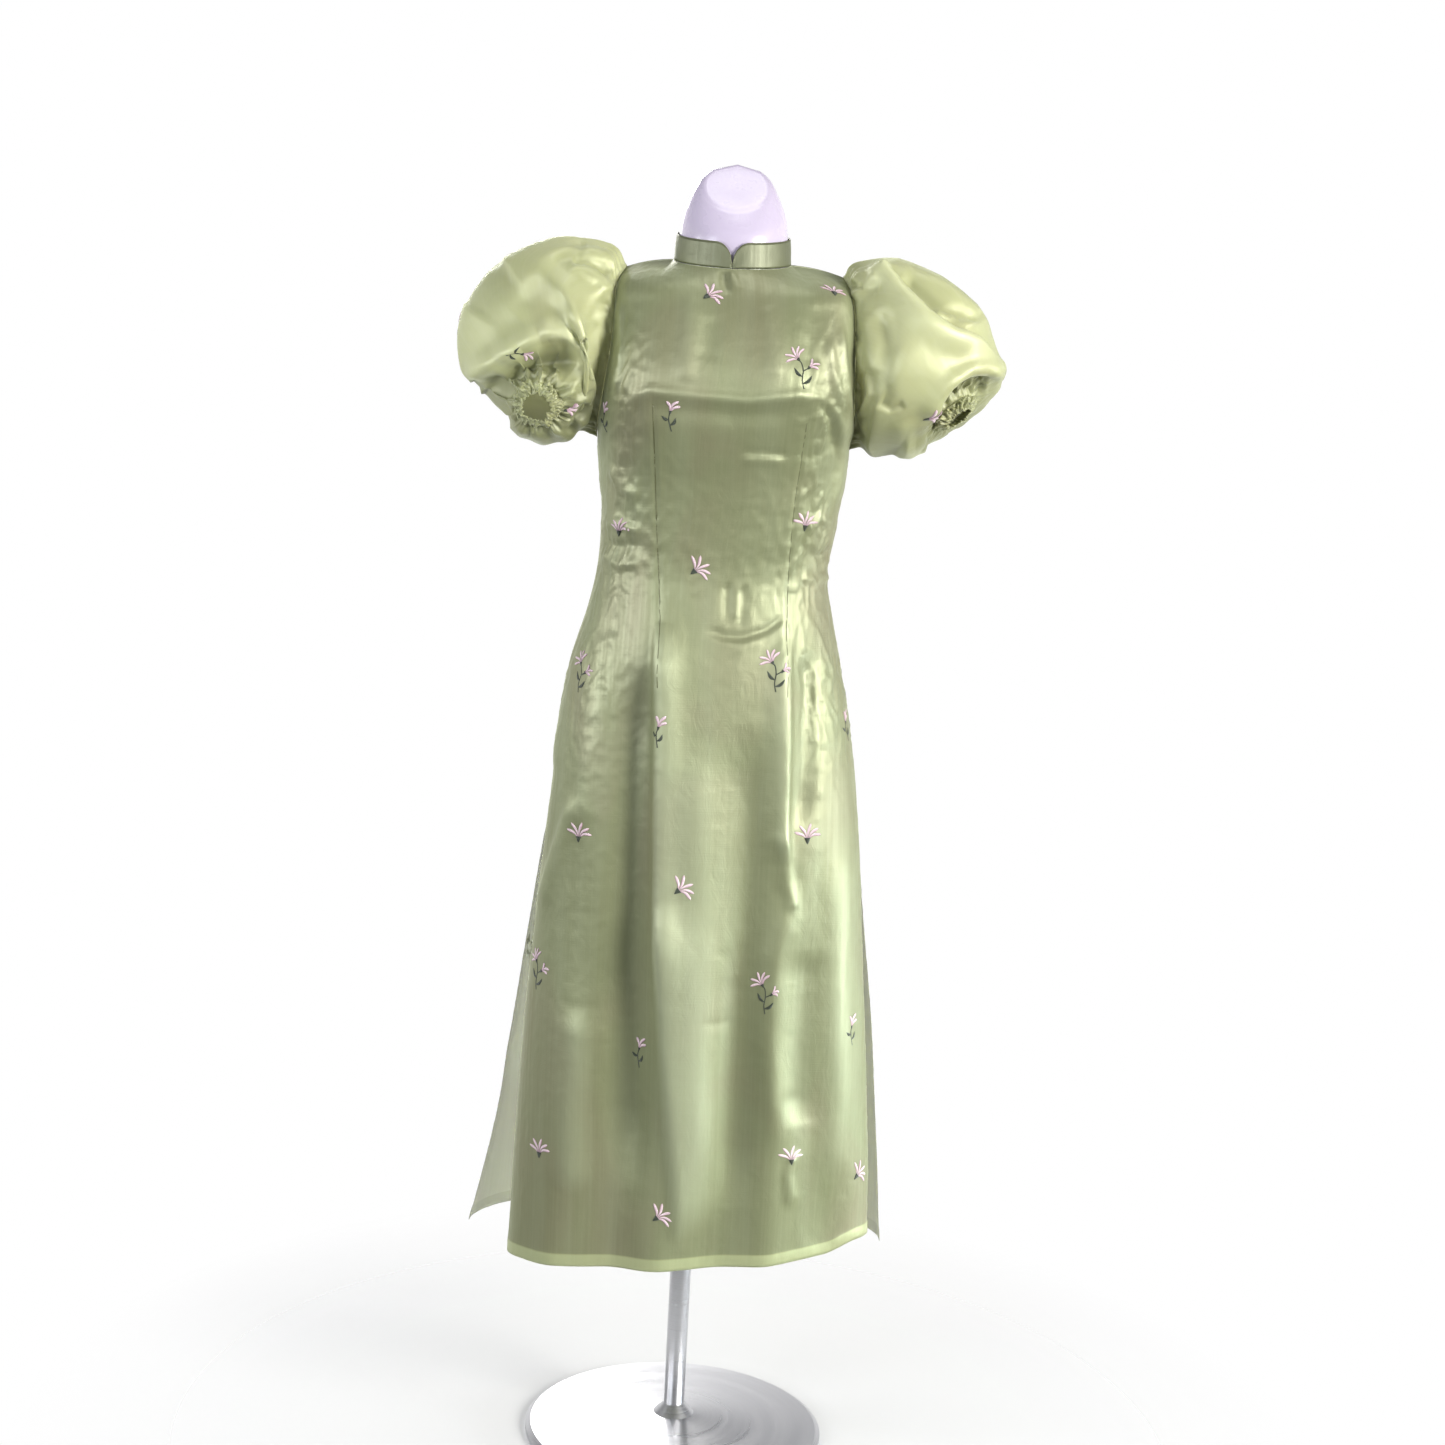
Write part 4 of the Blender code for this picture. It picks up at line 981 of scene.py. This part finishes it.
def buildSleeve(side, name, look, cuffLook):
    rings = sleeveRings[side]
    columns, rows = sleeves["columns"], sleeves["rows"]
    mesh, shares = gridMesh(columns, rows)
    base = []
    pleat = np.empty(len(shares))
    for k, (turn, along) in enumerate(shares):
        point, outward = sleeveBase(side, turn, along * len(rings))
        atSeam = ease(along / 0.10) * (1 - ease((along - 0.10) / 0.45))
        atCuff = ease((along - 0.55) / 0.35) * (1 - 0.6 * ease((along - 0.9) / 0.1))
        point = point + outward * (sleeves["gatherRise"] * (0.55 * atSeam + atCuff) * gatherWave(turn))
        seamPleats = ease(along / 0.025) * (1 - ease((along - 0.02) / 0.20))
        cuffPleats = ease((along - 0.80) / 0.16)
        pleat[k] = 0.0013 * seamPleats * fineWave(turn, 34, 1.0) + 0.0052 * cuffPleats * ruffle(turn, along, side)
        base.append(Vector((point.x * side, point.y, point.z)))
    setPlaces(mesh, base)
    middle = mesh.verts[len(shares) // 2]
    if middle.normal.dot(middle.co - Vector((side * 0.20, -0.02, 1.305))) < 0:
        bmesh.ops.reverse_faces(mesh, faces=mesh.faces)
        mesh.normal_update()
    at, normal = places(mesh)
    order = np.lexsort((shares[:, 0], shares[:, 1]))
    table = normal[order].reshape(rows + 1, columns + 1, 3)
    both = table[:, 0] + table[:, -1]
    both /= np.linalg.norm(both, axis=1)[:, None]
    table[:, 0] = both
    table[:, -1] = both
    normal[order] = table.reshape(-1, 3)
    x, z = at[:, 0], at[:, 2]
    frontFacing = easeArray((0.45 - normal[:, 1]) / 0.5)
    backFacing = easeArray((normal[:, 1] - 0.15) / 0.5)
    mirrored = tuple((tuple((side * px, pz) for px, pz in points), width, rise, side * lean)
                     for points, width, rise, lean in sleeves["backFolds"])
    grow = sleeves["foldGrow"]
    push = foldField(x, z, sleeves["folds"][side], grow) * frontFacing + foldField(x, z, mirrored, grow) * backFacing
    along = shares[:, 1]
    hold = easeArray(along / 0.03) * easeArray((1 - along) / 0.02)
    gathered = easeArray((0.34 - along) / 0.3) + easeArray((along - 0.62) / 0.3)
    push += (0.00015 + 0.00030 * gathered) * crushField(at, (42, 42, 42), 6, 21 + side)
    push += 0.00040 * gathered * crushField(at, (85, 85, 60), 4, 27 + side)
    push += 0.0016 * rollField(at, (10, 10, 10), 31 + side)
    push += pleat
    moved = at + normal * (push * hold)[:, None]
    moved[:, 0] = side * np.maximum(side * moved[:, 0], side * at[:, 0] - 0.004)
    for vert, place in zip(mesh.verts, moved):
        vert.co = place
    widths = np.linalg.norm(np.diff(at[order].reshape(rows + 1, columns + 1, 3), axis=1), axis=2).sum(1)
    lengths = np.linalg.norm(np.diff(at[order].reshape(rows + 1, columns + 1, 3), axis=0), axis=2).sum(0)
    values = np.stack([shares[:, 0] * 0.60, (1 - along) * 0.24], 1)
    setLayer(mesh, "cloth", values)
    # darker towards the cuff, where the cloth is gathered denser and painted shade falls, and painted shade over the
    # sleeve below the lip
    gatheredShade = sleeves["gatheredShade"] * (easeArray((along - 0.58) / 0.30) + 2.4 * easeArray((1.285 - z) / 0.07))
    setLayer(mesh, "depth", np.stack([push * hold - gatheredShade, along], 1))
    bmesh.ops.remove_doubles(mesh, verts=mesh.verts, dist=1e-5)
    mesh.normal_update()
    tree = BVHTree.FromBMesh(mesh)
    area = sum(face.calc_area() for face in mesh.faces)
    print("sleeve", name, "area", round(area, 4), "round", round(widths.max(), 3), "long", round(lengths.max(), 3))
    piece = finishPiece("sleeve_" + name + "_organza", mesh, look,
                        replaces=("sleeve_" + name,), wall=sleeves["wall"])
    cuff = buildCuff(side, name, cuffLook)
    return piece, tree, cuff


# the gathered casing round the opening, drawn up in small uneven puckers
def buildCuff(side, name, look):
    last = sleeveRings[side][-1]
    swing, dip = math.radians(last[3]), math.radians(last[4])
    axis = Vector((math.cos(dip) * math.cos(swing), -math.cos(dip) * math.sin(swing), -math.sin(dip)))
    centre = Vector(last[:3])
    mesh, shares = gridMesh(sleeves["cuffColumns"], sleeves["cuffRows"])
    points = []
    for turn, along in shares:
        rim = ringPoint(last, turn)
        radial = (rim - centre).normalized()
        puffed = math.sin(along * math.pi)
        out = sleeves["cuffBulge"] * puffed + 0.0052 * ruffle(turn, along, side) * ease(along / 0.3)
        inner = -0.0075 * ease((along - 0.15) / 0.85) - 0.0030 * ease(along / 0.5) * noise.noise(
            Vector((math.cos(turn * 2 * math.pi) * 1.3, math.sin(turn * 2 * math.pi) * 1.3, side * 3.1)))
        lift = sleeves["cuffSeam"] + along * sleeves["cuffWidth"] + 0.0034 * ruffle(turn, along + 0.7, side) * puffed
        place = rim + axis * lift + radial * (out + inner)
        points.append(Vector((place.x * side, place.y, place.z)))
    setPlaces(mesh, points)
    probe = mesh.verts[len(shares) // 2]
    if probe.normal.dot(probe.co - Vector((centre.x * side, centre.y, centre.z))) < 0:
        bmesh.ops.reverse_faces(mesh, faces=mesh.faces)
    setLayer(mesh, "cloth", np.stack([shares[:, 0] * 0.30, (1 - shares[:, 1]) * 0.011], 1))
    # painted shade over the whole casing, lighter in patches, as among the puckers
    puckerShade = [(-0.0135 + 0.0100 * ruffle(turn * 2, along, side + 5), 0.0) for turn, along in shares]
    setLayer(mesh, "depth", np.array(puckerShade))
    bmesh.ops.remove_doubles(mesh, verts=mesh.verts, dist=1e-6)
    area = sum(face.calc_area() for face in mesh.faces)
    print("cuff", name, "area", round(area, 5))
    return finishPiece("cuff_" + name + "_organza", mesh, look,
                       replaces=("cuff_" + name,), wall=sleeves["cuffWall"])


# Embroidery and seams, laid on the finished cloth

# where the ray meets the cloth, with the directions across, up and outward there
def surfaceFrame(tree, start, towards):
    place, normal, index, far = tree.ray_cast(Vector(start), Vector(towards))
    if place is None:
        place, normal, index, far = tree.find_nearest(Vector(start))
    if normal.dot(Vector(towards)) > 0:
        normal = -normal
    up = Vector((0, 0, 1)) - normal * normal.z
    up.normalize()
    across = up.cross(normal)
    return place, across, up, normal


# a raised shape of close thread on the cloth: its spine in the flower's own plane, its half width along it
def stitched(mesh, layer, tree, spot, spine, halfWidth, columns=5, rows=10, lift=0.0002, crown=0.0006,
             tilt=0.0, size=1.0, shadeSideFlipped=False):
    place, across, up, normal = spot
    turnX, turnY = math.cos(math.radians(tilt)), math.sin(math.radians(tilt))
    made = bmesh.ops.create_grid(mesh, x_segments=columns, y_segments=rows, size=0.5)["verts"]
    steps = len(spine) - 1
    shares = {}
    points = [Vector(point) for point in spine]
    for vert in made:
        a, s = vert.co.x + 0.5, vert.co.y + 0.5
        if steps > 1:
            here = alongCurve(lambda k: points[k], steps, s * steps)
            ahead = alongCurve(lambda k: points[k], steps, min(s + 0.02, 1) * steps) - alongCurve(
                lambda k: points[k], steps, max(s - 0.02, 0) * steps)
        else:
            here, ahead = points[0].lerp(points[1], s), points[1] - points[0]
        ahead.normalize()
        flat = here + Vector((ahead.y, -ahead.x)) * ((a - 0.5) * 2 * halfWidth(s))
        flat = Vector((flat.x * turnX - flat.y * turnY, flat.x * turnY + flat.y * turnX)) * size
        near, facing, index, far = tree.find_nearest(place + across * flat.x + up * flat.y)
        if facing.dot(normal) < 0:
            facing = -facing
        # turned over so that the painted shade falls on the lower side of each petal
        shares[vert] = (1 - a if shadeSideFlipped else a, s)
        vert.co = near + facing * (lift + crown * math.sqrt(max(1 - (2 * a - 1) ** 2, 0)) * min(1, halfWidth(s) / 0.002))
    for vert in made:
        for loop in vert.link_loops:
            loop[layer].uv = shares[vert]


# narrow at the heart and full at the round tip
def clubPetal(width):
    return lambda s: width * (0.24 + 0.76 * ease(s / 0.72)) * math.sqrt(max(1 - max(s - 0.74, 0) ** 2 / 0.0680, 0.004))


def leafShape(width):
    return lambda s: width * math.sin(math.pi * min(max(s, 0.02), 0.99)) ** 0.8


def stemShape(width):
    return lambda s: width


# points drawn in millimetres, made metres, scaled, turned and moved
def moved(points, share, dx=0.0, dy=0.0, turn=0.0):
    c, d = math.cos(math.radians(turn)), math.sin(math.radians(turn))
    return [((x * c - y * d) * share * 0.001 + dx, (x * d + y * c) * share * 0.001 + dy) for x, y in points]


# drawn in millimetres from the top of the calyx
flower = {
    "petalWidth": 0.00185, "stemWidth": 0.00060, "leafWidth": 0.0018, "lift": 0.00015, "crown": 0.0007,
    "open": (((-0.9, -0.2), (-6.4, 5.2), (-17.2, 8.6)), ((-0.6, 0.2), (-3.4, 8.6), (-11.0, 17.4)),
             ((0.0, 0.4), (1.0, 9.4), (4.6, 19.4)), ((0.6, 0.2), (5.2, 8.2), (14.4, 13.2)),
             ((0.9, -0.2), (7.4, 5.2), (18.2, 5.4))),
    "bud": (((-0.4, 0.0), (-0.8, 6.6), (-4.0, 12.6)), ((0.2, 0.2), (2.8, 8.0), (9.6, 13.4)),
            ((0.5, -0.2), (4.4, 4.2), (11.2, 6.0))),
    "calyx": ((0.0, 1.6), (0.0, -2.0), (0.1, -5.6)),
    "budStem": ((-0.3, -0.6), (-1.8, -8.6), (-0.4, -15.8), (1.5, -23.0)),
    "budLeaves": (((-1.8, -9.2), (-5.4, -9.2), (-9.8, -5.8)), ((-0.2, -15.8), (4.2, -13.0), (6.0, -7.4))),
    "doubleStem": ((0.4, -1.0), (3.6, -4.4), (4.9, -13.2), (3.7, -23.5), (5.6, -33.0)),
    "sideStem": ((4.8, -13.6), (8.0, -11.8), (11.6, -9.4)),
    "doubleLeaves": (((3.9, -19.6), (-1.4, -16.4), (-5.2, -10.0)), ((4.2, -27.2), (10.6, -24.6), (15.4, -18.2))),
}


def petalsAt(petals, greens, tree, spot, drawn, tilt, share, dx, dy, turn=0.0, calyx=1.0):
    mesh, layer = petals
    for k, spine in enumerate(flower[drawn]):
        points = moved(spine, share, dx, dy, turn)
        stitched(mesh, layer, tree, spot, points, clubPetal(flower["petalWidth"] * share), 6, 10,
                 flower["lift"] + 0.00008 * (k % 2), flower["crown"], tilt, 1.0, points[-1][0] < points[0][0])
    mesh, layer = greens
    stitched(mesh, layer, tree, spot, moved(flower["calyx"], calyx, dx, dy, turn),
             lambda s: calyx * (0.0034 * (1 - s) ** 0.8 + 0.0003), 5, 8, 0.0004, 0.0007, tilt)


def greenLines(greens, tree, spot, stems, leaves, tilt, share, dx, dy):
    mesh, layer = greens
    for spine in stems:
        stitched(mesh, layer, tree, spot, moved(spine, share, dx, dy), stemShape(flower["stemWidth"]), 3, 16,
                 0.0002, 0.0005, tilt)
    for spine in leaves:
        stitched(mesh, layer, tree, spot, moved(spine, share, dx, dy), leafShape(flower["leafWidth"]), 4, 10,
                 0.0002, 0.0005, tilt)


def plainFlower(petals, greens, tree, spot, tilt=0.0):
    petalsAt(petals, greens, tree, spot, "open", tilt, 0.93, 0.0, -0.0065)


def smallFlower(petals, greens, tree, spot, tilt=0.0):
    petalsAt(petals, greens, tree, spot, "bud", tilt, 1.15, 0.0, 0.0, 0.0, 0.6)


def fullFlower(petals, greens, tree, spot, tilt=0.0):
    petalsAt(petals, greens, tree, spot, "open", tilt, 1.30, 0.0, -0.0065)


def stemmedBud(petals, greens, tree, spot, tilt=0.0):
    petalsAt(petals, greens, tree, spot, "bud", tilt, 1.0, 0.0, 0.005, 0.0, 0.55)
    greenLines(greens, tree, spot, (flower["budStem"],), flower["budLeaves"], tilt, 1.0, 0.0, 0.005)


def doubleStem(petals, greens, tree, spot, tilt=0.0):
    dx, dy = -0.0035, 0.0145
    petalsAt(petals, greens, tree, spot, "open", tilt, 0.80, dx, dy, 40, 0.62)
    petalsAt(petals, greens, tree, spot, "bud", tilt, 0.84, dx + 0.0125, dy - 0.0090, -38, 0.55)
    greenLines(greens, tree, spot, (flower["doubleStem"], flower["sideStem"]), flower["doubleLeaves"], tilt,
               1.0, dx, dy)


# kind, across, up, turn
frontFlowers = (
    (plainFlower, -0.113, 1.109, 0), (plainFlower, 0.097, 1.127, 0), (plainFlower, -0.141, 0.761, 0),
    (plainFlower, 0.119, 0.775, 0), (plainFlower, -0.171, 0.385, 4), (plainFlower, 0.121, 0.400, 0),
    (plainFlower, -0.020, 1.374, -50), (plainFlower, -0.019, 1.070, -50), (plainFlower, -0.019, 0.712, -50),
    (plainFlower, -0.025, 0.325, -50), (plainFlower, 0.204, 0.368, -50),
    (stemmedBud, -0.059, 1.239, 0), (stemmedBud, -0.056, 0.886, 0), (stemmedBud, -0.060, 0.510, 0),
    (stemmedBud, 0.184, 0.541, 0), (stemmedBud, 0.158, 0.891, 0), (stemmedBud, -0.134, 1.230, 0),
    (doubleStem, 0.083, 1.294, 0), (doubleStem, 0.072, 0.954, 0), (doubleStem, 0.080, 0.585, 0),
    (doubleStem, -0.149, 0.935, 0), (doubleStem, -0.184, 0.586, 0), (plainFlower, 0.114, 1.384, -20),
)
backFlowers = (
    (plainFlower, -0.110, 1.110, 0), (plainFlower, 0.100, 1.126, 0), (plainFlower, -0.142, 0.762, 0),
    (plainFlower, 0.122, 0.776, 0), (plainFlower, -0.176, 0.386, 0), (plainFlower, 0.126, 0.400, 0),
    (plainFlower, -0.036, 1.374, -50), (plainFlower, -0.034, 1.070, -50), (plainFlower, -0.034, 0.712, -50),
    (plainFlower, -0.040, 0.330, -50),
    (stemmedBud, -0.072, 1.239, 0), (stemmedBud, -0.070, 0.886, 0), (stemmedBud, -0.076, 0.520, 0),
    (stemmedBud, 0.200, 0.545, 0), (stemmedBud, 0.152, 0.891, 0), (plainFlower, 0.210, 0.320, -50),
    (doubleStem, 0.066, 1.294, 0), (doubleStem, 0.064, 0.954, 0), (doubleStem, 0.066, 0.590, 0),
    (doubleStem, -0.150, 0.930, 0), (doubleStem, -0.200, 0.586, 0),
)
# kind, where the ray starts, where it points, turn
sleeveFlowers = {
    -1: ((stemmedBud, (-0.230, -0.5, 1.296), (0, 1, 0), -80), (smallFlower, (-0.176, -0.5, 1.237), (0, 1, 0), -70),
         (plainFlower, (-0.215, 0.5, 1.290), (0, -1, 0), -40), (stemmedBud, (-0.180, 0.5, 1.360), (0, -1, 0), 0),
         (doubleStem, (-0.5, 0.030, 1.320), (1, 0, 0), 10)),
    1: ((fullFlower, (0.233, -0.5, 1.249), (0, 1, 0), -50), (stemmedBud, (0.262, 0.5, 1.320), (0, -1, 0), 20),
        (plainFlower, (0.215, 0.5, 1.290), (0, -1, 0), 40), (stemmedBud, (0.180, 0.5, 1.360), (0, -1, 0), 0),
        (doubleStem, (0.5, 0.030, 1.320), (-1, 0, 0), -10)),
}


def newStitches():
    mesh = bmesh.new()
    return mesh, mesh.loops.layers.uv.new("stitch")


# every flower of one panel, as one piece of petals and one of green thread
def embroider(name, tree, spots, petalLook, greenLook):
    petals, greens = newStitches(), newStitches()
    for kind, start, towards, tilt in spots:
        kind(petals, greens, tree, surfaceFrame(tree, start, towards), tilt)
    finishPiece(name + "_petals", petals[0], petalLook, wall=0.00025)
    finishPiece(name + "_stems", greens[0], greenLook, wall=0.00025)


# the fine dark line of a stitched seam
def seamAlong(name, tree, points, look, halfWidth=0.0005, sink=0.0001):
    mesh, layer = newStitches()
    for line in points:
        steps = len(line) - 1
        rows = max(steps * 6, 12)
        made = bmesh.ops.create_grid(mesh, x_segments=2, y_segments=rows, size=0.5)["verts"]
        shares = {}
        spine = [Vector(point) for point in line]
        for vert in made:
            a, s = vert.co.x + 0.5, vert.co.y + 0.5
            here = alongCurve(lambda k: spine[k], steps, s * steps)
            near, facing, index, far = tree.find_nearest(here)
            ahead = alongCurve(lambda k: spine[k], steps, min(s + 0.01, 1) * steps) - alongCurve(
                lambda k: spine[k], steps, max(s - 0.01, 0) * steps)
            side = ahead.cross(facing).normalized()
            shares[vert] = (a, s)
            vert.co = near + side * ((a - 0.5) * 2 * halfWidth) + facing * sink
        for vert in made:
            for loop in vert.link_loops:
                loop[layer].uv = shares[vert]
    finishPiece(name, mesh, look, wall=0.00015)


# The dress form and its stand

form = {
    "insets": ((0.78, 0.0200), (0.92, 0.0180), (1.00, 0.0130), (1.10, 0.0085), (1.28, 0.0075), (1.37, 0.0052),
               (1.386, 0.0045), (1.40, 0.0030)),
    "bottomRow": 13, "columns": 60, "rows": 84, "footShare": 0.95,
    "neckRings": ((1.412, 0.0625, 0.0570, 0.04), (1.424, 0.0622, 0.0568, 0.10), (1.446, 0.0605, 0.0555, 0.22),
                  (1.462, 0.0570, 0.0530, 0.38), (1.478, 0.0500, 0.0470, 0.58), (1.4890, 0.0430, 0.0392, 0.73),
                  (1.4928, 0.0385, 0.0345, 0.79)),
    "capRings": ((1.4940, 0.0362, 0.0322, 0.80), (1.4942, 0.0330, 0.0292, 0.80), (1.4938, 0.0180, 0.0160, 0.80),
                 (1.4936, 0.0040, 0.0036, 0.80)),
    "neckSteps": 5, "nape": 0.945,  # the back of the neck is flatter, clear of the collar
}
stand = {
    "top": 0.7797,
    "profile": ((0.045, 0.0), (0.045, -0.008), (0.0165, -0.011), (0.0125, -0.018)),
    "foot": ((0.0125, 0.036), (0.0245, 0.024), (0.099, 0.014), (0.174, 0.010), (0.180, 0.006), (0.180, 0.0)),
}


def neckRingPoint(ring, spot):
    z, halfX, halfY, slope = ring
    around = math.atan2(spot.x / shape["neckHalf"], -spot.y / shape["neckFront"])
    y = -halfY * math.cos(around)
    if y > 0:
        y *= 1 - (1 - form["nape"]) * y / halfY
    return Vector((halfX * math.sin(around), y, z + slope * y))


def buildForm(look):
    mesh = bmesh.new()
    for facing in (-1, 1):
        made = bmesh.ops.create_grid(mesh, x_segments=form["columns"], y_segments=form["rows"], size=0.5)["verts"]
        for vert in made:
            u, t = vert.co.x * 2, (0.5 - vert.co.y) * form["bottomRow"]
            vert.co = panelPoint(facing, u, t, forForm=True)
        if facing > 0:
            bmesh.ops.reverse_faces(mesh, faces=list({face for vert in made for face in vert.link_faces}))
    bmesh.ops.remove_doubles(mesh, verts=mesh.verts, dist=1e-5)
    mesh.normal_update()
    moved = {}
    for vert in mesh.verts:
        inset = float(np.interp(vert.co.z, *zip(*form["insets"])))
        moved[vert] = vert.co - vert.normal * inset
    for vert, place in moved.items():
        vert.co = place
    loop = [edge for edge in mesh.edges if edge.is_boundary
            and all(abs(v.co.x) < shape["neckHalf"] + 0.004 and v.co.z > shape["neckZ"] - 0.02 for v in edge.verts)]
    for vert in {vert for edge in loop for vert in edge.verts}:
        vert.co.x *= form["footShare"]
        vert.co.y *= form["footShare"]
    rings = [Vector(ring) for ring in form["neckRings"]]
    last = len(rings) - 1
    count = last * form["neckSteps"]
    levels = [alongCurve(lambda k: rings[k], last, k * last / count) for k in range(count + 1)]
    for ring in levels + [Vector(ring) for ring in form["capRings"]]:
        grown = bmesh.ops.extrude_edge_only(mesh, edges=loop)["geom"]
        for item in grown:
            if isinstance(item, bmesh.types.BMVert):
                item.co = neckRingPoint(ring, item.co)
        loop = [item for item in grown if isinstance(item, bmesh.types.BMEdge)]
    bmesh.ops.holes_fill(mesh, edges=[edge for edge in mesh.edges if edge.is_boundary], sides=0)
    bmesh.ops.recalc_face_normals(mesh, faces=mesh.faces)
    return finishPiece("form_torso_smooth", mesh, look, replaces=("form_torso",), angle=50)


def buildStand(look):
    mesh = bmesh.new()
    top = stand["top"]
    outline = [(0.0, top)] + [(r, top + z) for r, z in stand["profile"]] + list(stand["foot"]) + [(0.0, 0.0)]
    verts = [mesh.verts.new((r, 0, z)) for r, z in outline]
    edges = [mesh.edges.new(pair) for pair in zip(verts, verts[1:])]
    bmesh.ops.spin(mesh, geom=verts + edges, cent=(0, 0, 0), axis=(0, 0, 1), angle=2 * math.pi, steps=128,
                   use_merge=True)
    bmesh.ops.remove_doubles(mesh, verts=mesh.verts, dist=1e-6)
    bmesh.ops.recalc_face_normals(mesh, faces=mesh.faces)
    return finishPiece("form_stand_turned", mesh, look, replaces=("form_stand",), angle=25)


def placeFloor(look):
    mesh = bmesh.new()
    bmesh.ops.create_circle(mesh, cap_ends=True, segments=96, radius=studio["floorEnd"])
    data = bpy.data.meshes.new("floor")
    mesh.to_mesh(data)
    mesh.free()
    floor = bpy.data.objects.new("floor", data)
    scene.collection.objects.link(floor)
    data.materials.append(look)


def boxes(spots, facing):
    start = -0.6 * -facing
    return [(kind, (x, start, z), (0, -facing, 0), tilt if facing < 0 else -tilt) for kind, x, z, tilt in spots]


placeCamera()
placeLights()
silkLook = makeSilk("aoDaiSilk", silk)
backPaintedLightLook = makeSilk("backSilkPaintedLight", {**silk, **back["look"]})
collarShadedLook = makeSilk("collarSilkShaded", {**silk, **collar["look"]}, hems=False)
organzaLook = makeSilk("sleeveOrganza", organza, hems=False, threads=420)
cuffLook = makeSilk("cuffOrganza", {**organza, **sleeves["cuffLook"]}, hems=False, threads=420)
petalLook = makeThread("petalThread", thread["petalLight"], thread["petalDark"], 0.3)
leafLook = makeThread("leafThread", thread["leaf"], tuple(c * 0.7 for c in thread["leaf"]), 0.2)
seamLook = makeThread("seamThread", thread["seam"], tuple(c * 0.8 for c in thread["seam"]), 0.1)
plasticLook = makePlastic()
steelLook = makeMetal("brushedSteel", (0.62, 0.62, 0.64), 0.25, (4, 4, 900))
enamelLook = makeMetal("zipEnamel", (0.25, 0.29, 0.12), 0.30, (60, 60, 60), 0.0)

frontPiece, frontTree = buildPanel("front_silk", -1, front, -1.0, 1.0, silkLook, ("front",))
print("front done")
backLeft, backLeftTree = buildPanel("back_left_silk", 1, back, 0.0, 1.0, backPaintedLightLook, ("back_left",),
                                    shape["seamHalf"])
backRight, backRightTree = buildPanel("back_right_silk", 1, back, -1.0, 0.0, backPaintedLightLook, ("back_right",),
                                      -shape["seamHalf"])
print("backs done")
collarLeft = buildCollar(1, "left", collarShadedLook, seamLook)
collarRight = buildCollar(-1, "right", collarShadedLook, seamLook)
sleeveLeft, sleeveLeftTree, cuffLeft = buildSleeve(1, "left", organzaLook, cuffLook)
sleeveRight, sleeveRightTree, cuffRight = buildSleeve(-1, "right", organzaLook, cuffLook)
print("sleeves done")
formPiece = buildForm(plasticLook)
standPiece = buildStand(steelLook)
for node in ("zip_slider", "zip_pull_tab"):
    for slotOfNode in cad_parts[node].material_slots:
        slotOfNode.material = enamelLook
dartLines = []
for points in front["darts"]:
    dartLines.append([frontTree.ray_cast(Vector((x, -0.6, z)), Vector((0, 1, 0)))[0] for x, z in points])
seamAlong("front_dart_seams", frontTree, dartLines, seamLook)
shoulderLines = [[topEdge(side * (0.43 + 0.52 * k / 8), -1) for k in range(9)] for side in (-1, 1)]
seamAlong("shoulder_seams", frontTree, shoulderLines, seamLook)
embroider("front_flowers", frontTree, boxes(frontFlowers, -1), petalLook, leafLook)
leftSpots = [spot for spot in backFlowers if spot[1] > 0]
rightSpots = [spot for spot in backFlowers if spot[1] < 0]
embroider("back_left_flowers", backLeftTree, boxes(leftSpots, 1), petalLook, leafLook)
embroider("back_right_flowers", backRightTree, boxes(rightSpots, 1), petalLook, leafLook)
embroider("sleeve_left_flowers", sleeveLeftTree, sleeveFlowers[1], petalLook, leafLook)
embroider("sleeve_right_flowers", sleeveRightTree, sleeveFlowers[-1], petalLook, leafLook)
print("embroidery done")
placeFloor(makeFloorLook())
